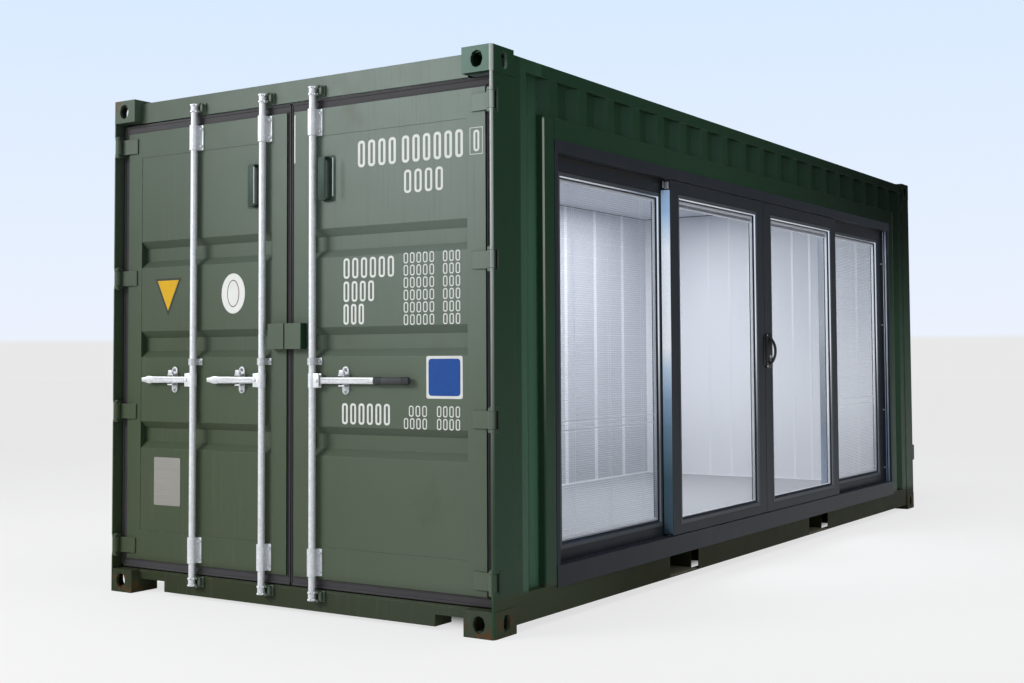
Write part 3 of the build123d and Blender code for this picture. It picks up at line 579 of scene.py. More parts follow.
def slat_enamel_with_painted_shade():
    """White enamelled slats with painted shade: greyer low down and towards the door end."""
    f = Finish("pale_blind_slats")
    base = f.mottled((0.93, 0.95, 0.97), (0.96, 0.97, 0.98), 22, 5)
    base = f.over(base, f.steps(f.axis(0), 1.2, -1.3), (0.74, 0.76, 0.80))
    base = f.over(base, f.product(f.steps(f.axis(2), 1.0, 0.4), 0.6), (0.34, 0.37, 0.43))
    skin = f.bumps(f.noise(300, 2), 0.08, 0.0006)
    return f.surface(Base_Color=base, Roughness=0.5, Normal=skin, Specular_IOR_Level=0.2)


def vinyl_floor():
    """Grey speckled vinyl above and plywood below."""
    f = Finish("grey_floor_covering")
    speckle = f.mixed(f.grains(420), colour(0.31, 0.32, 0.34), colour(0.40, 0.41, 0.43))
    ply = f.mottled((0.16, 0.09, 0.045), (0.24, 0.15, 0.08), 6, 5, (14, 1, 1))
    base = f.mixed(f.steps(f.leaning(2), 0.1, 0.6), ply, speckle)
    skin = f.bumps(f.noise(500, 2), 0.08, 0.0006)
    return f.surface(Base_Color=base, Roughness=0.55, Normal=skin)


def bright_metal(name, dark, light, rough):
    """Mill finished aluminium with a faint drawn grain."""
    f = Finish(name)
    base = f.mottled(dark, light, 5, 4, (1, 1, 60))
    skin = f.bumps(f.noise(900, 2), 0.05, 0.0004)
    return f.surface(Base_Color=base, Metallic=0.6, Roughness=rough, Normal=skin)


def enamel(name, dark, light):
    """Stencil paint or a printed sign, a little chalky."""
    f = Finish(name)
    base = f.mottled(dark, light, 22, 5)
    skin = f.bumps(f.noise(300, 2), 0.08, 0.0006)
    return f.surface(Base_Color=base, Roughness=0.5, Normal=skin, Specular_IOR_Level=0.2)


green = container_paint()
worn_green = keeper_paint()
zinc = galvanised("galvanised_steel", (0.66, 0.675, 0.685), (0.78, 0.79, 0.80))
dull_zinc = galvanised("dull_galvanised_steel", (0.50, 0.515, 0.525), (0.62, 0.63, 0.64))
seal_rubber = rubber()
powder_coat = anthracite("anthracite_powder_coat", (0.022, 0.027, 0.034), (0.029, 0.035, 0.044))
bead_coat = anthracite("anthracite_glazing_bead", (0.066, 0.077, 0.086), (0.082, 0.095, 0.106))
gasket_rubber = plastic("black_gasket_rubber", (0.012, 0.012, 0.013), (0.022, 0.022, 0.023), 0.6)
grip_plastic = plastic("handle_grip_plastic", (0.030, 0.032, 0.034), (0.050, 0.052, 0.054), 0.55)
black_plastic = plastic("black_handle_plastic", (0.006, 0.006, 0.007), (0.012, 0.012, 0.013), 0.40)
window_glass = glass()
# Two copies of one white lining: darker on the side walls and the ceiling as painted shade, lighter on the
# end wall as painted light.
lining_board_shaded = board_with_painted_shade(
    "white_lining_board", (0.57, 0.585, 0.64), (0.61, 0.625, 0.675), (0.48, 0.50, 0.54), (0.60, 0.62, 0.68)
)
end_board_lit = board_with_painted_shade(
    "white_end_board", (0.88, 0.89, 0.93), (0.91, 0.92, 0.95), (0.80, 0.81, 0.85), (0.80, 0.82, 0.86)
)
floor_cover = vinyl_floor()
spacer_metal = bright_metal("spacer_bar_aluminium", (0.62, 0.64, 0.66), (0.78, 0.80, 0.82), 0.35)
shaded_slat_enamel = slat_enamel_with_painted_shade()
white_marks = enamel("white_stencil_paint", (0.60, 0.62, 0.58), (0.74, 0.75, 0.72))
yellow_sign = enamel("yellow_sign_enamel", (0.52, 0.30, 0.004), (0.60, 0.35, 0.006))
blue_sign = enamel("blue_sign_enamel", (0.004, 0.050, 0.24), (0.008, 0.075, 0.32))
brown_lines = enamel("brown_sign_lines", (0.16, 0.11, 0.09), (0.24, 0.17, 0.14))
plate_metal = bright_metal("dull_data_plate", (0.22, 0.21, 0.185), (0.32, 0.31, 0.28), 0.6)
handle_teal = enamel("teal_handle_paint", (0.022, 0.046, 0.034), (0.034, 0.062, 0.046))
# Painted highlight for the grab handles' edges.
edge_highlight_paint = enamel("pale_edge_highlight", (0.42, 0.46, 0.43), (0.52, 0.56, 0.53))
dark_lines = enamel("dark_sign_lines", (0.020, 0.030, 0.020), (0.035, 0.045, 0.032))
joint_white = enamel("white_joint_strip", (0.84, 0.86, 0.90), (0.90, 0.91, 0.94))
# Painted reflections: pale where the sky would mirror, dark low down where the ground would.
bead_sides_painted_reflection = profile_with_painted_reflection("bright_bead_sides_painted_reflection", (
    (0.0, (0.09, 0.10, 0.12)), (0.75, (0.13, 0.15, 0.18)), (1.05, (0.40, 0.43, 0.48)),
    (1.30, (0.86, 0.90, 0.95)), (2.5, (0.80, 0.86, 0.94)),
))
interlock_side_painted_reflection = profile_with_painted_reflection("bright_interlock_side", (
    (0.0, (0.030, 0.045, 0.065)), (0.55, (0.040, 0.085, 0.115)), (0.82, (0.13, 0.22, 0.31)),
    (0.98, (0.25, 0.37, 0.52)), (1.143, (0.55, 0.68, 0.82)), (1.27, (0.97, 0.985, 1.0)),
    (1.80, (0.98, 0.99, 1.0)), (2.0, (0.40, 0.56, 0.76)), (2.2, (0.34, 0.43, 0.55)),
))
blue_side_painted_reflection = profile_with_painted_reflection("bluish_profile_side", (
    (0.0, (0.30, 0.42, 0.60)), (0.70, (0.28, 0.38, 0.52)),
    (1.45, (0.82, 0.87, 0.94)), (2.5, (0.46, 0.58, 0.76)),
), 0.2)

# Finishes of the solids that keep their own shape
node_finishes = {
    green: """top_corner_castings bottom_corner_castings rear_corner_posts front_corner_posts
        door_header door_sill front_end_rails top_side_rails bottom_side_rails fork_pockets
        cross_members roof_panel front_wall back_wall walls_beside_glazing wall_above_glazing
        opening_posts opening_lintel left_door_frame left_door_panel left_door_fittings
        right_door_frame right_door_panel right_door_fittings hinge_lugs""",
    worn_green: "lock_keepers",
    zinc: "left_door_gear right_door_gear left_outer_bar left_inner_bar right_bar",
    seal_rubber: "left_door_seal right_door_seal",
    powder_coat: """glazing_head glazing_sill glazing_jambs fixed_panel_frames
        left_sliding_frame right_sliding_frame""",
    grip_plastic: "handle_grip",
    black_plastic: "power_inlet door_pulls",
    floor_cover: "cabin_floor",
    lining_board_shaded: "back_lining lining_beside_glazing lining_above_glazing ceiling",
    end_board_lit: "front_lining",
}
for finish, names in node_finishes.items():
    for name in names.split():
        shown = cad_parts[name]
        shown.data.materials.clear()
        shown.data.materials.append(finish)


# Double glazed units: two sheets, a spacer bar round their rim, a gasket and a bead, with a dark ring of
# painted shade beside the bead and bead sides in a painted reflection
spacer_wide = 0.006
gasket_wide = 0.003
shadow_ring_past = 0.036
shadow_ring_wide = 0.007
shadow_ring_thick = 0.0003
bead_past = 0.029
bead_stand = 0.0006
bead_steps = ((0.002, 0), (0.017, 0.002))
bead_side_past = 0.010
bead_side_sink = 0.0014
bead_side_steps = ((0.007, 0.0085),)


def rim_bars(mesh, left, right, wide, y):
    """Four bars that lie inside the rim of the glass."""
    for x in ((left, left + wide), (right - wide, right)):
        block(mesh, x, y, (glass_low, glass_high), 0.001, 1)
    for z in ((glass_low, glass_low + wide), (glass_high - wide, glass_high)):
        block(mesh, (left + wide, right - wide), y, z, 0.001, 1)


def mitred_ring(mesh, left, right, past, face, profile):
    """A ring with mitred corners, starting past the glass and stepped inwards by pairs of width and sink."""
    middle = ((left + right) / 2, face, (glass_low + glass_high) / 2)
    half = ((right - left) / 2 + past, (glass_high - glass_low) / 2 + past)
    place = Matrix.Translation(middle) @ Matrix.Rotation(pi / 2, 4, "X") @ Matrix.Diagonal((*half, 1, 1))
    made = bmesh.ops.create_grid(mesh, x_segments=1, y_segments=1, size=1, matrix=place)
    inside = list({f for v in made["verts"] for f in v.link_faces})
    for wide, sink in profile:
        mesh.normal_update()
        bmesh.ops.inset_region(
            mesh, faces=inside, thickness=wide, depth=-sink, use_boundary=True, use_even_offset=True
        )
    bmesh.ops.delete(mesh, geom=inside, context="FACES_ONLY")


def glazed_unit(name, left, right, setback, body):
    """The glass between its beads; gives the sheets' object."""
    face = glazed_side + setback
    outer = face + glass_setback
    inner = outer + unit_depth
    sheets = bmesh.new()
    for start in (outer, inner - sheet_thick):
        block(sheets, (left, right), (start, start + sheet_thick), (glass_low, glass_high))
    pane = piece(f"{name}_glass_sheets", sheets, window_glass, body)
    spacers = bmesh.new()
    play = sheet_thick + 0.0005
    rim_bars(spacers, left, right, spacer_wide, (outer + play, inner - play))
    piece(f"{name}_spacer_bars", spacers, shaded_slat_enamel, body)
    gasket = bmesh.new()
    for start in (outer - gasket_wide, inner):
        rim_bars(gasket, left, right, gasket_wide, (start, start + gasket_wide))
    piece(f"{name}_glazing_gasket", gasket, gasket_rubber, body)
    # Painted shade: a thin dark ring stands in for the shadow gap between the bead and the frame.
    shadow_ring = bmesh.new()
    mitred_ring(shadow_ring, left, right, shadow_ring_past, face - shadow_ring_thick, ((shadow_ring_wide, 0),))
    bmesh.ops.solidify(shadow_ring, geom=list(shadow_ring.faces), thickness=shadow_ring_thick)
    piece(f"{name}_bead_shadow_ring", shadow_ring, gasket_rubber, body)
    bead = bmesh.new()
    mitred_ring(bead, left, right, bead_past, face - bead_stand, bead_steps)
    piece(f"{name}_glazing_bead", bead, bead_coat, body)
    # Bead sides in a painted reflection.
    sides = bmesh.new()
    mitred_ring(sides, left, right, bead_side_past, face + bead_side_sink, bead_side_steps)
    piece(f"{name}_bead_sides_painted_reflection", sides, bead_sides_painted_reflection, body)
    return pane


# Blinds between the sheets
blind_inset = 0.010
slat_section = ((-0.0061, 0), (-0.002, 0.0009), (0.002, 0.0009), (0.0061, 0))
slat_thick = 0.0003
lowered_slats = 155
lowered_pitch = 0.011
gathered_slats = 12
gathered_pitch = 0.0013
head_rail_half = 0.0068
head_rail_base = glass_high - 0.016
foot_rail_half = 0.006
foot_rail_tall = 0.007
cord_shares = (0.14, 0.5, 0.86)
cord_from_middle = 0.0064


def slat(mesh, left, right, middle, z, tilt):
    """One curved blind slat between two places."""
    place = Matrix.Translation((0, middle, z)) @ Matrix.Rotation(tilt, 4, "X")
    edge = [mesh.verts.new(place @ Vector((left, y, rise))) for y, rise in slat_section]
    edges = [mesh.edges.new(pair) for pair in zip(edge, edge[1:])]
    done = bmesh.ops.extrude_edge_only(mesh, edges=edges)
    far = [item for item in done["geom"] if isinstance(item, bmesh.types.BMVert)]
    bmesh.ops.translate(mesh, verts=far, vec=(right - left, 0, 0))


def slat_tilt(number):
    """Slats hang a little uneven, and two of them are turned."""
    if number in (104, 108):
        return radians(30)
    return radians(3 + 5 * (number % 7 == 3))


def blind(name, left, right, setback, body, lowered):
    """Slats between the two sheets of glass, hung on cords or drawn up under their head rail."""
    middle = glazed_side + setback + glass_setback + unit_depth / 2
    left += blind_inset
    right -= blind_inset
    top = head_rail_base
    slats = bmesh.new()
    hangs = bmesh.new()
    block(hangs, (left, right), about(middle, head_rail_half), (top, glass_high - 0.0065), 0.001, 1)
    if lowered:
        for number in range(lowered_slats):
            slat(slats, left, right, middle, top - 0.008 - number * lowered_pitch, slat_tilt(number))
        for share in cord_shares:
            x = left + share * (right - left)
            for y in about(middle, cord_from_middle):
                block(hangs, about(x, 0.0006), about(y, 0.0003), (glass_low + 0.016, top))
    else:
        for number in range(gathered_slats):
            slat(slats, left, right, middle, top - 0.0025 - number * gathered_pitch, 0)
    foot = glass_low + 0.0090 if lowered else top - 0.0245
    block(hangs, (left, right), about(middle, foot_rail_half), (foot, foot + foot_rail_tall), 0.001, 1)
    bmesh.ops.solidify(slats, geom=list(slats.faces), thickness=slat_thick)
    bmesh.ops.recalc_face_normals(slats, faces=list(slats.faces))
    piece(f"{name}_blind_slats", slats, shaded_slat_enamel, body)
    piece(f"{name}_blind_rails_and_cords", hangs, joint_white, body)


for name, (left, right, setback, body) in panes.items():
    pane = glazed_unit(name, left, right, setback, body)
    blind(name, left, right, setback, body, "fixed" in name)
    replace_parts(pane, "fixed_panes" if "fixed" in name else f"{name}_pane")


# Side faces of the panels' overlapping edges in a painted reflection, with the guides and seals beside them
edge_low = 0.262
cover_high = 2.120
brush_high = 2.168
fixed_cover_z = (0.258, 2.172)
seal_and_shade_z = (2.158, 2.1795)
outer_guide_z = (2.128, 2.166)
inner_guide_z = (2.134, 2.172)
seal_and_shade_end = 2.4695


def overlap(name, side):
    """Where a sliding panel laps over its fixed one: covers in a painted reflection, guide ends, brush, and
    a head seal that is partly dark rubber and partly painted shade.
    """
    sliding = f"{name}_sliding_panel"
    # The interlock cover's colour is a painted reflection.
    cover = bmesh.new()
    start = sliding_edge - 0.001
    block(cover, span(side, start, sliding_edge + 0.013), inward(0.0032, 0.0505), (edge_low, cover_high))
    for vert in cover.verts:
        if abs(vert.co.x) > sliding_edge and vert.co.y < glazed_side + 0.010:
            vert.co.x = side * (sliding_edge - 0.0002)
    piece(f"{name}_interlock_cover", cover, interlock_side_painted_reflection, sliding)
    guide_end = bmesh.new()
    block(guide_end, span(side, start, sliding_edge + 0.004), inward(0.010, 0.034), outer_guide_z, 0.0015)
    block(guide_end, span(side, start, sliding_edge + 0.003), inward(0.038, 0.048), inner_guide_z, 0.0015)
    piece(f"{name}_guide_end", guide_end, spacer_metal, sliding)
    brush = bmesh.new()
    block(brush, span(side, 1.250, 1.262), inward(0.0535, 0.0605), (edge_low, brush_high))
    piece(f"{name}_brush_seal", brush, gasket_rubber, "container")
    # The fixed edge cover's colour is a painted reflection.
    inner = bmesh.new()
    inner_x = span(side, fixed_edge - 0.0012, fixed_edge + 0.001)
    block(inner, inner_x, inward(0.062, 0.108), fixed_cover_z, 0.0006, 1)
    piece(f"{name}_fixed_edge_cover", inner, blue_side_painted_reflection, "container")
    # Partly a black seal, partly painted shade under the head.
    band = bmesh.new()
    block(band, span(side, 1.300, seal_and_shade_end), inward(0.0585, 0.0605), seal_and_shade_z)
    piece(f"{name}_head_seal_and_shade", band, gasket_rubber, "container")


for name, side in (("left", -1), ("right", 1)):
    overlap(name, side)

# Clips up the jambs, and painted highlight lines along the frame's edges
clip_heights = (1.926, 1.453, 0.799, 0.356)
clips = bmesh.new()
frame_edge_highlights = bmesh.new()
for side in (-1, 1):
    for z in clip_heights:
        block(clips, span(side, jamb_face, 2.458), inward(0.050, 0.0595), about(z, 0.004), 0.001)
    for depth, wide in ((0.0175, 0.0095), (0.0370, 0.0050)):
        block(frame_edge_highlights, span(side, jamb_face, 2.4680), inward(depth, depth + wide), (0.252, 2.178))
block(frame_edge_highlights, (-2.499, 2.499), inward(0.0012, 0.0022), (2.2365, 2.2395))
piece("jamb_clips", clips, spacer_metal, "container")
piece("frame_edge_highlight_lines", frame_edge_highlights, blue_side_painted_reflection, "container")


# Stencilled marks: plain rings in the places where the doors carry figures
def ring_points(wide, tall, radius, lift=0.0004, steps=4):
    """Points round a rectangle with round corners."""
    points = []
    for number, (sx, sy) in enumerate(((1, 1), (-1, 1), (-1, -1), (1, -1))):
        for k in range(steps + 1):
            angle = number * pi / 2 + k * pi / 2 / steps
            across = sx * (wide / 2 - radius) + radius * cos(angle)
            points.append((across, sy * (tall / 2 - radius) + radius * sin(angle), lift))
    return points


def stencil(mesh, right, left, low, high, count, face=panel_face):
    """A row of plain zeros between two places across the door."""
    shape = 0.70
    bend = 0.42
    pitch = (right - left) / (count - 1 + shape)
    wide = pitch * shape
    tall = high - low
    stroke = tall * 0.11
    for i in range(count):
        place = facing((face, right - wide / 2 - i * pitch, (low + high) / 2), (-1, 0, 0))
        outer = ring_points(wide, tall, wide * bend)
        inner = ring_points(wide - 2 * stroke, tall - 2 * stroke, max(wide * bend - stroke, 0.002))
        outer, inner = ([mesh.verts.new(place @ Vector(point)) for point in ring] for ring in (outer, inner))
        for k in range(len(outer)):
            n = (k + 1) % len(outer)
            mesh.faces.new((outer[k], outer[n], inner[n], inner[k]))


# Rows at the top, then three large and six small ones in two columns, then the rows below
marks = bmesh.new()
stencil(marks, -0.423, -0.649, 2.112, 2.238, 4)
stencil(marks, -0.684, -1.028, 2.112, 2.238, 6)
stencil(marks, -0.696, -0.917, 1.971, 2.079, 4)
for top, end, count in ((1.687, -0.637, 6), (1.577, -0.519, 4), (1.470, -0.459, 3)):
    stencil(marks, -0.335, end, top - 0.097, top, count)
for row in range(6):
    top = 1.697 - row * 0.0566
    stencil(marks, -0.693, -0.866, top - 0.049, top, 5)
    stencil(marks, -0.916, -1.010, top - 0.049, top, 3)
stencil(marks, -0.326, -0.612, 0.905, 1.004, 6)
for top, start, count in ((0.998, -0.722, 3), (0.941, -0.693, 4)):
    stencil(marks, start, -0.824, top - 0.050, top, count)
    stencil(marks, -0.880, -1.007, top - 0.050, top, 4)
stencil(marks, -1.086, -1.118, 2.130, 2.226, 1, leaf_face)
bmesh.ops.recalc_face_normals(marks, faces=list(marks.faces))
bmesh.ops.solidify(marks, geom=list(marks.faces), thickness=0.0003)

# A painted box round the last ring, on the leaf's edge
box_left, box_right = -1.136, -1.066
box_low, box_high = 2.117, 2.238
box_line = 0.003
box_x = (leaf_face - 0.0006, leaf_face + 0.0002)
for y in ((box_right, box_right - box_line), (box_left + box_line, box_left)):
    block(marks, box_x, y, (box_low, box_high))
for z in ((box_low, box_low + box_line), (box_high - box_line, box_high)):
    block(marks, box_x, (box_right - box_line, box_left + box_line), z)
piece("white_stencil_marks", marks, white_marks, "right_door")


# Locking bars with their cams, clevis and flat handle
def handle_blade(mesh, y, hand):
    """A flat handle with two pressed ridges; the left door's are widened and curled at their end."""
    curled = hand > 0
    curl_run = 0.075
    start = y + hand * 0.020
    end = y + hand * handle_reach[hand]
    block(mesh, about(bar_x, 0.004), sorted((start, end)), about(handle_z, handle_half), 0.0016)
    cuts = 10
    for i in range(1, cuts):
        at = end - hand * curl_run * i / cuts
        bmesh.ops.bisect_plane(
            mesh, geom=list(mesh.verts) + list(mesh.edges) + list(mesh.faces),
            plane_co=(0, at, 0), plane_no=(0, 1, 0),
        )
    if curled:
        for vert in mesh.verts:
            along = 1 - abs(end - vert.co.y) / curl_run
            if along > 0:
                swell = 1 + 0.30 * sin(pi * min(along * 1.3, 1)) - 0.62 * max(along - 0.45, 0)
                vert.co.z = handle_z + (vert.co.z - handle_z) * swell
                vert.co.x -= 0.010 * along * along
    ridge = sorted((start + hand * 0.045, end - hand * (0.085 if curled else 0.030)))
    for offset in (-0.0075, 0.0075):
        block(mesh, (bar_x - 0.0062, bar_x - 0.002), ridge, about(handle_z + offset, 0.0028), 0.0018)


def cam(mesh, y, base):
    """A spool on the bar with two pairs of lobes that hook behind the keepers."""
    spool = [
        (0.0160, 0), (0.0200, 0), (0.0212, 0.0012), (0.0212, 0.0070), (0.0200, 0.0085), (0.0186, 0.0100),
        (0.0186, 0.0340), (0.0200, 0.0355), (0.0212, 0.0370), (0.0212, 0.0428), (0.0200, 0.0440),
        (0.0160, 0.0440), (0.0160, 0),
    ]
    turned(mesh, facing((bar_x, y, base)), spool, 28)
    for lift in (0.001, 0.034):
        z = (base + lift, base + lift + 0.009)
        block(mesh, (bar_x - 0.0238, bar_x - 0.006), about(y, 0.0095), z, 0.003)
        block(mesh, (bar_x - 0.009, bar_x + 0.008), (y - 0.0238, y - 0.006), z, 0.003)


def clevis(mesh, y, hand):
    """A hub on the bar with two cheeks, a web and a pin for the handle."""
    hub_half = 0.036
    sleeve(mesh, facing((bar_x, y, handle_z - hub_half)), 0.020, 0.0165, 2 * hub_half, 0.0015)
    for offset in (0.0055, -0.0125):
        x = (bar_x + offset, bar_x + offset + 0.007)
        block(mesh, x, span(hand, 0.008, 0.050, y), about(handle_z, 0.034), 0.0025)
    block(mesh, about(bar_x, 0.011), span(hand, 0.010, 0.024, y), about(handle_z, hub_half), 0.003)
    turned(
        mesh, facing((bar_x - 0.0125, y + hand * 0.037, handle_z), (-1, 0, 0)),
        [(0, 0), (0.0085, 0), (0.0085, 0.003), (0.0060, 0.0062), (0, 0.0070)], 18,
    )


def locking_bar(name, y, hand):
    """One turned bar from cam to cam, with its handle."""
    blade = bmesh.new()
    handle_blade(blade, y, hand)
    steel = bmesh.new()
    low = cam_bases[0] + 0.003
    high = cam_bases[1] + cam_height - 0.003
    end_radius = 0.0135
    turned(
        steel, facing((bar_x, y, 0)),
        [(0, low), (end_radius, low), (bar_radius, low + 0.003), (bar_radius, high - 0.003),
         (end_radius, high), (0, high)], 32,
    )
    for base in cam_bases:
        cam(steel, y, base)
    clevis(steel, y, hand)
    made = piece(f"{name}_steelwork", steel, zinc, name)
    arm = piece(f"{name}_handle_blade", blade, dull_zinc, name)
    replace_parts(made, name)
    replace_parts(arm, name)


for name, (y, hand) in bars.items():
    locking_bar(name, y, hand)

# Rubber grip on the long handle
grip = bmesh.new()
grip_start = -0.5403
grip_length = 0.204
slab(grip, facing((bar_x, grip_start, handle_z), (0, -1, 0)), 0.022, 0.032, grip_length, 0.0085, 0.004)
for start in (0.006, 0.016, 0.026, 0.036, 0.160, 0.170, 0.180, 0.190):
    slab(grip, facing((bar_x, grip_start - start, handle_z), (0, -1, 0)), 0.026, 0.036, 0.006, 0.010, 0.0015)
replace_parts(piece("handle_grip_ribbed", grip, grip_plastic, "right_bar"), "handle_grip")


# Bearings, guides and handle retainers bolted on the leaves
def bearing(mesh, y, base):
    """A tall sleeve on a plate with four bolts."""
    sleeve(mesh, facing((bar_x, y, base)), 0.0238, 0.0176, bearing_height, 0.002)
    middle = base + bearing_height / 2
    plate = 0.0042
    slab(mesh, facing((leaf_face, y, middle), (-1, 0, 0)), 0.086, bearing_height, plate, 0.006, 0.0012)
    for side in (-1, 1):
        block(
            mesh, (bar_x + 0.006, leaf_face - 0.003), span(side, 0.013, 0.0225, y),
            (base + 0.001, base + bearing_height - 0.001), 0.002,
        )
        for lift in (-0.044, 0.044):
            bolt(mesh, (leaf_face - plate, y + side * 0.033, middle + lift), (-1, 0, 0), 0.014)


def guide(mesh, y, seat):
    """A strap round the bar above the handle, bolted at both sides of a plate that starts at its seat."""
    middle = guide_base + guide_height / 2
    plate = 0.004
    sleeve(mesh, facing((bar_x, y, guide_base)), 0.0232, 0.0178, guide_height, 0.0015)
    depth = seat - leaf_face + plate
    slab(mesh, facing((seat, y, middle), (-1, 0, 0)), 0.086, guide_height, depth, 0.005, 0.001)
    for side in (-1, 1):
        block(
            mesh, (bar_x + 0.004, leaf_face - 0.002), span(side, 0.014, 0.0225, y),
            (guide_base + 0.001, guide_base + guide_height - 0.001), 0.0015,
        )
        bolt(mesh, (leaf_face - plate, y + side * 0.0345, middle), (-1, 0, 0), 0.013)


def retainer(mesh, y):
    """An upright plate with round ends, two arms about the handle and a catch on a pin above it."""
    plate = 0.0065
    slab(mesh, facing((panel_face, y, handle_z), (-1, 0, 0)), 0.040, 0.133, plate, 0.0195, 0.0015)
    for lift in (-0.0525, 0.0525):
        bolt(mesh, (panel_face - plate, y, handle_z + lift), (-1, 0, 0), 0.015)
    for lift in (-0.025, 0.025):
        arm = about(handle_z + lift, 0.0035)
        block(mesh, (rear + 0.013, panel_face - 0.003), about(y, 0.019), arm, 0.0025)
    catch = (handle_z + 0.0225, handle_z + 0.050)
    pin = (rear + 0.020, y - 0.016, handle_z + 0.034)
    block(mesh, (rear + 0.0125, rear + 0.0165), about(y, 0.013), catch, 0.0018)
    sleeve(mesh, facing(pin, (0, 1, 0)), 0.0065, 0.001, 0.032, 0.001, 14)


def door_gear(leaf, side):
    """Everything that is bolted on one leaf to hold its bars and handles."""
    bar_places = sorted(y for y, hand in bars.values() if hand == side)
    sleeves = bmesh.new()
    for y in bar_places:
        for base in bearing_bases:
            bearing(sleeves, y, base)
    made = piece(f"{leaf}_bearings", sleeves, zinc, leaf)
    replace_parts(made, f"{leaf}_gear")
    straps = bmesh.new()
    for y in bar_places:
        guide(straps, y, leaf_face if abs(y) < 0.2 else panel_face)
    for y in retainer_places[leaf]:
        retainer(straps, y)
    piece(f"{leaf}_guides_and_retainers", straps, dull_zinc, leaf)


for leaf, side in leaves.items():
    door_gear(leaf, side)

# Cam keepers welded on the header and the sill
keepers = bmesh.new()
weld_x = end_frame_face - 0.004
for y, _ in bars.values():
    near = y - 0.030
    for base in cam_bases:
        low = base + cam_height / 2 - 0.026
        plate_x = (end_frame_face, end_frame_face - 0.009)
        block(keepers, plate_x, (near - 0.032, near), (low, low + 0.052), 0.003)
        for start in (low, low + 0.040):
            block(keepers, (weld_x, rear + 0.0135), (near - 0.016, near), (start, start + 0.012), 0.004)
        web_y = (near - 0.026, near - 0.010)
        block(keepers, (weld_x, rear + 0.024), web_y, (low + 0.003, low + 0.049), 0.005)
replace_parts(piece("welded_cam_keepers", keepers, worn_green, "container"), "lock_keepers")

# Hinge pins: domed heads above and below each pair of lugs
pins = bmesh.new()
dome = [(0, 0), (0.0115, 0), (0.0115, 0.002), (0.0095, 0.0045), (0.0055, 0.0058), (0, 0.006)]
for z in hinge_heights:
    for side in (-1, 1):
        for outward in (1, -1):
            turned(pins, facing((pin_x, side * pin_y, z + outward * 0.054), (0, 0, outward)), dome, 16)
piece("hinge_pin_heads", pins, worn_green, "container")


# Rubber lips along the faces of the door seals
def seal_lips(leaf, side):
    """Two rings of lips round one leaf, the outer one wider."""
    lips = bmesh.new()
    inner, outer = 0.0035, 1.195
    low, high = 0.125, 2.462
    face = rear + 0.060
    lip_x = (face - 0.0035, face + 0.001)
    for inset, wide in ((0.0, 0.012), (0.036, 0.008)):
        near, far = inner + inset * 0.35, outer - inset
        foot, head = low + inset, high - inset
        for y in ((near, near + wide / 2), (far - wide, far)):
            block(lips, lip_x, span(side, *y), (foot, head), 0.0016)
        for z in ((foot, foot + wide), (head - wide, head)):
            block(lips, lip_x, span(side, near, far), z, 0.0016)
    piece(f"{leaf}_seal_lips", lips, seal_rubber, leaf)


for leaf, side in leaves.items():
    seal_lips(leaf, side)

# Pull handles on the right sliding panel, black outside and grey inside
pull_x = 0.066
pull_plate = 0.0085
pull_low = 1.140
pull_tall = 0.217
pull_outer_face = glazed_side + 0.002
pull_inner_face = glazed_side + 0.052


def pull_handle(mesh, face, outward):
    """A bow bent to an arc, on a long plate beside the meeting edge."""
    middle = pull_low + pull_tall / 2
    slab(mesh, facing((0.045, face, middle), (0, outward, 0)), 0.078, pull_tall, pull_plate, 0.008, 0.0025)
    before = set(mesh.verts)
    stand = 0.042
    radius = 0.1185
    half = 0.83
    centre = Vector((pull_x, face + outward * (stand - radius), middle))
    ring = bmesh.ops.create_circle(mesh, cap_ends=True, segments=12, radius=1.0)["verts"]
    bow_half_wide = 0.0125
    bow_half_deep = 0.0078
    section = Matrix.Translation((pull_x, 0, 0)) @ Matrix.Diagonal((bow_half_wide, bow_half_deep, 1, 1))
    for vert in ring:
        local = section @ vert.co
        vert.co = Vector((local.x, centre.y + outward * (radius - 0.0002 + local.y), middle))
    bmesh.ops.rotate(mesh, verts=ring, cent=centre, matrix=Matrix.Rotation(-half, 3, "X"))
    faces = [f for f in mesh.faces if all(v in ring for v in f.verts)]
    edges = list({e for f in faces for e in f.edges})
    bmesh.ops.spin(
        mesh, geom=ring + faces + edges, cent=centre, axis=(1, 0, 0), angle=2 * half, steps=22,
        use_merge=False,
    )
    made = [v for v in mesh.verts if v not in before]
    bmesh.ops.recalc_face_normals(mesh, faces=list({f for v in made for f in v.link_faces}))


def lock_cylinder(mesh, face, outward):
    """The keyhole's turned face, its key slot guard and two plate screws."""
    seat = face + outward * pull_plate
    turned(
        mesh, facing((pull_x, seat, 1.212), (0, outward, 0)),
        [(0, 0), (0.0105, 0), (0.0105, 0.003), (0.0090, 0.0045), (0, 0.0045)], 20,
    )
    block(mesh, about(pull_x, 0.0025), sorted((seat, seat + outward * 0.004)), (1.176, 1.194), 0.0012)
    screw = [(0, 0), (0.0045, 0), (0.0038, 0.0016), (0, 0.002)]
    for z in (1.152, 1.345):
        turned(mesh, facing((0.022, seat, z), (0, outward, 0)), screw, 14)


outer_pull = bmesh.new()
pull_handle(outer_pull, pull_outer_face, -1)
bow = piece("outer_door_pull", outer_pull, black_plastic, "right_sliding_panel")
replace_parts(bow, "door_pulls")
inner_pull = bmesh.new()
pull_handle(inner_pull, pull_inner_face, 1)
piece("inner_door_pull", inner_pull, spacer_metal, "right_sliding_panel")
lock = bmesh.new()
lock_cylinder(lock, pull_outer_face, -1)
piece("lock_cylinder_and_screws", lock, spacer_metal, "right_sliding_panel")
keep = bmesh.new()
block(keep, (-0.0285, -0.0045), inward(-0.0035, 0.0030), (1.160, 1.345), 0.0025)
piece("hook_lock_keep", keep, black_plastic, "left_sliding_panel")

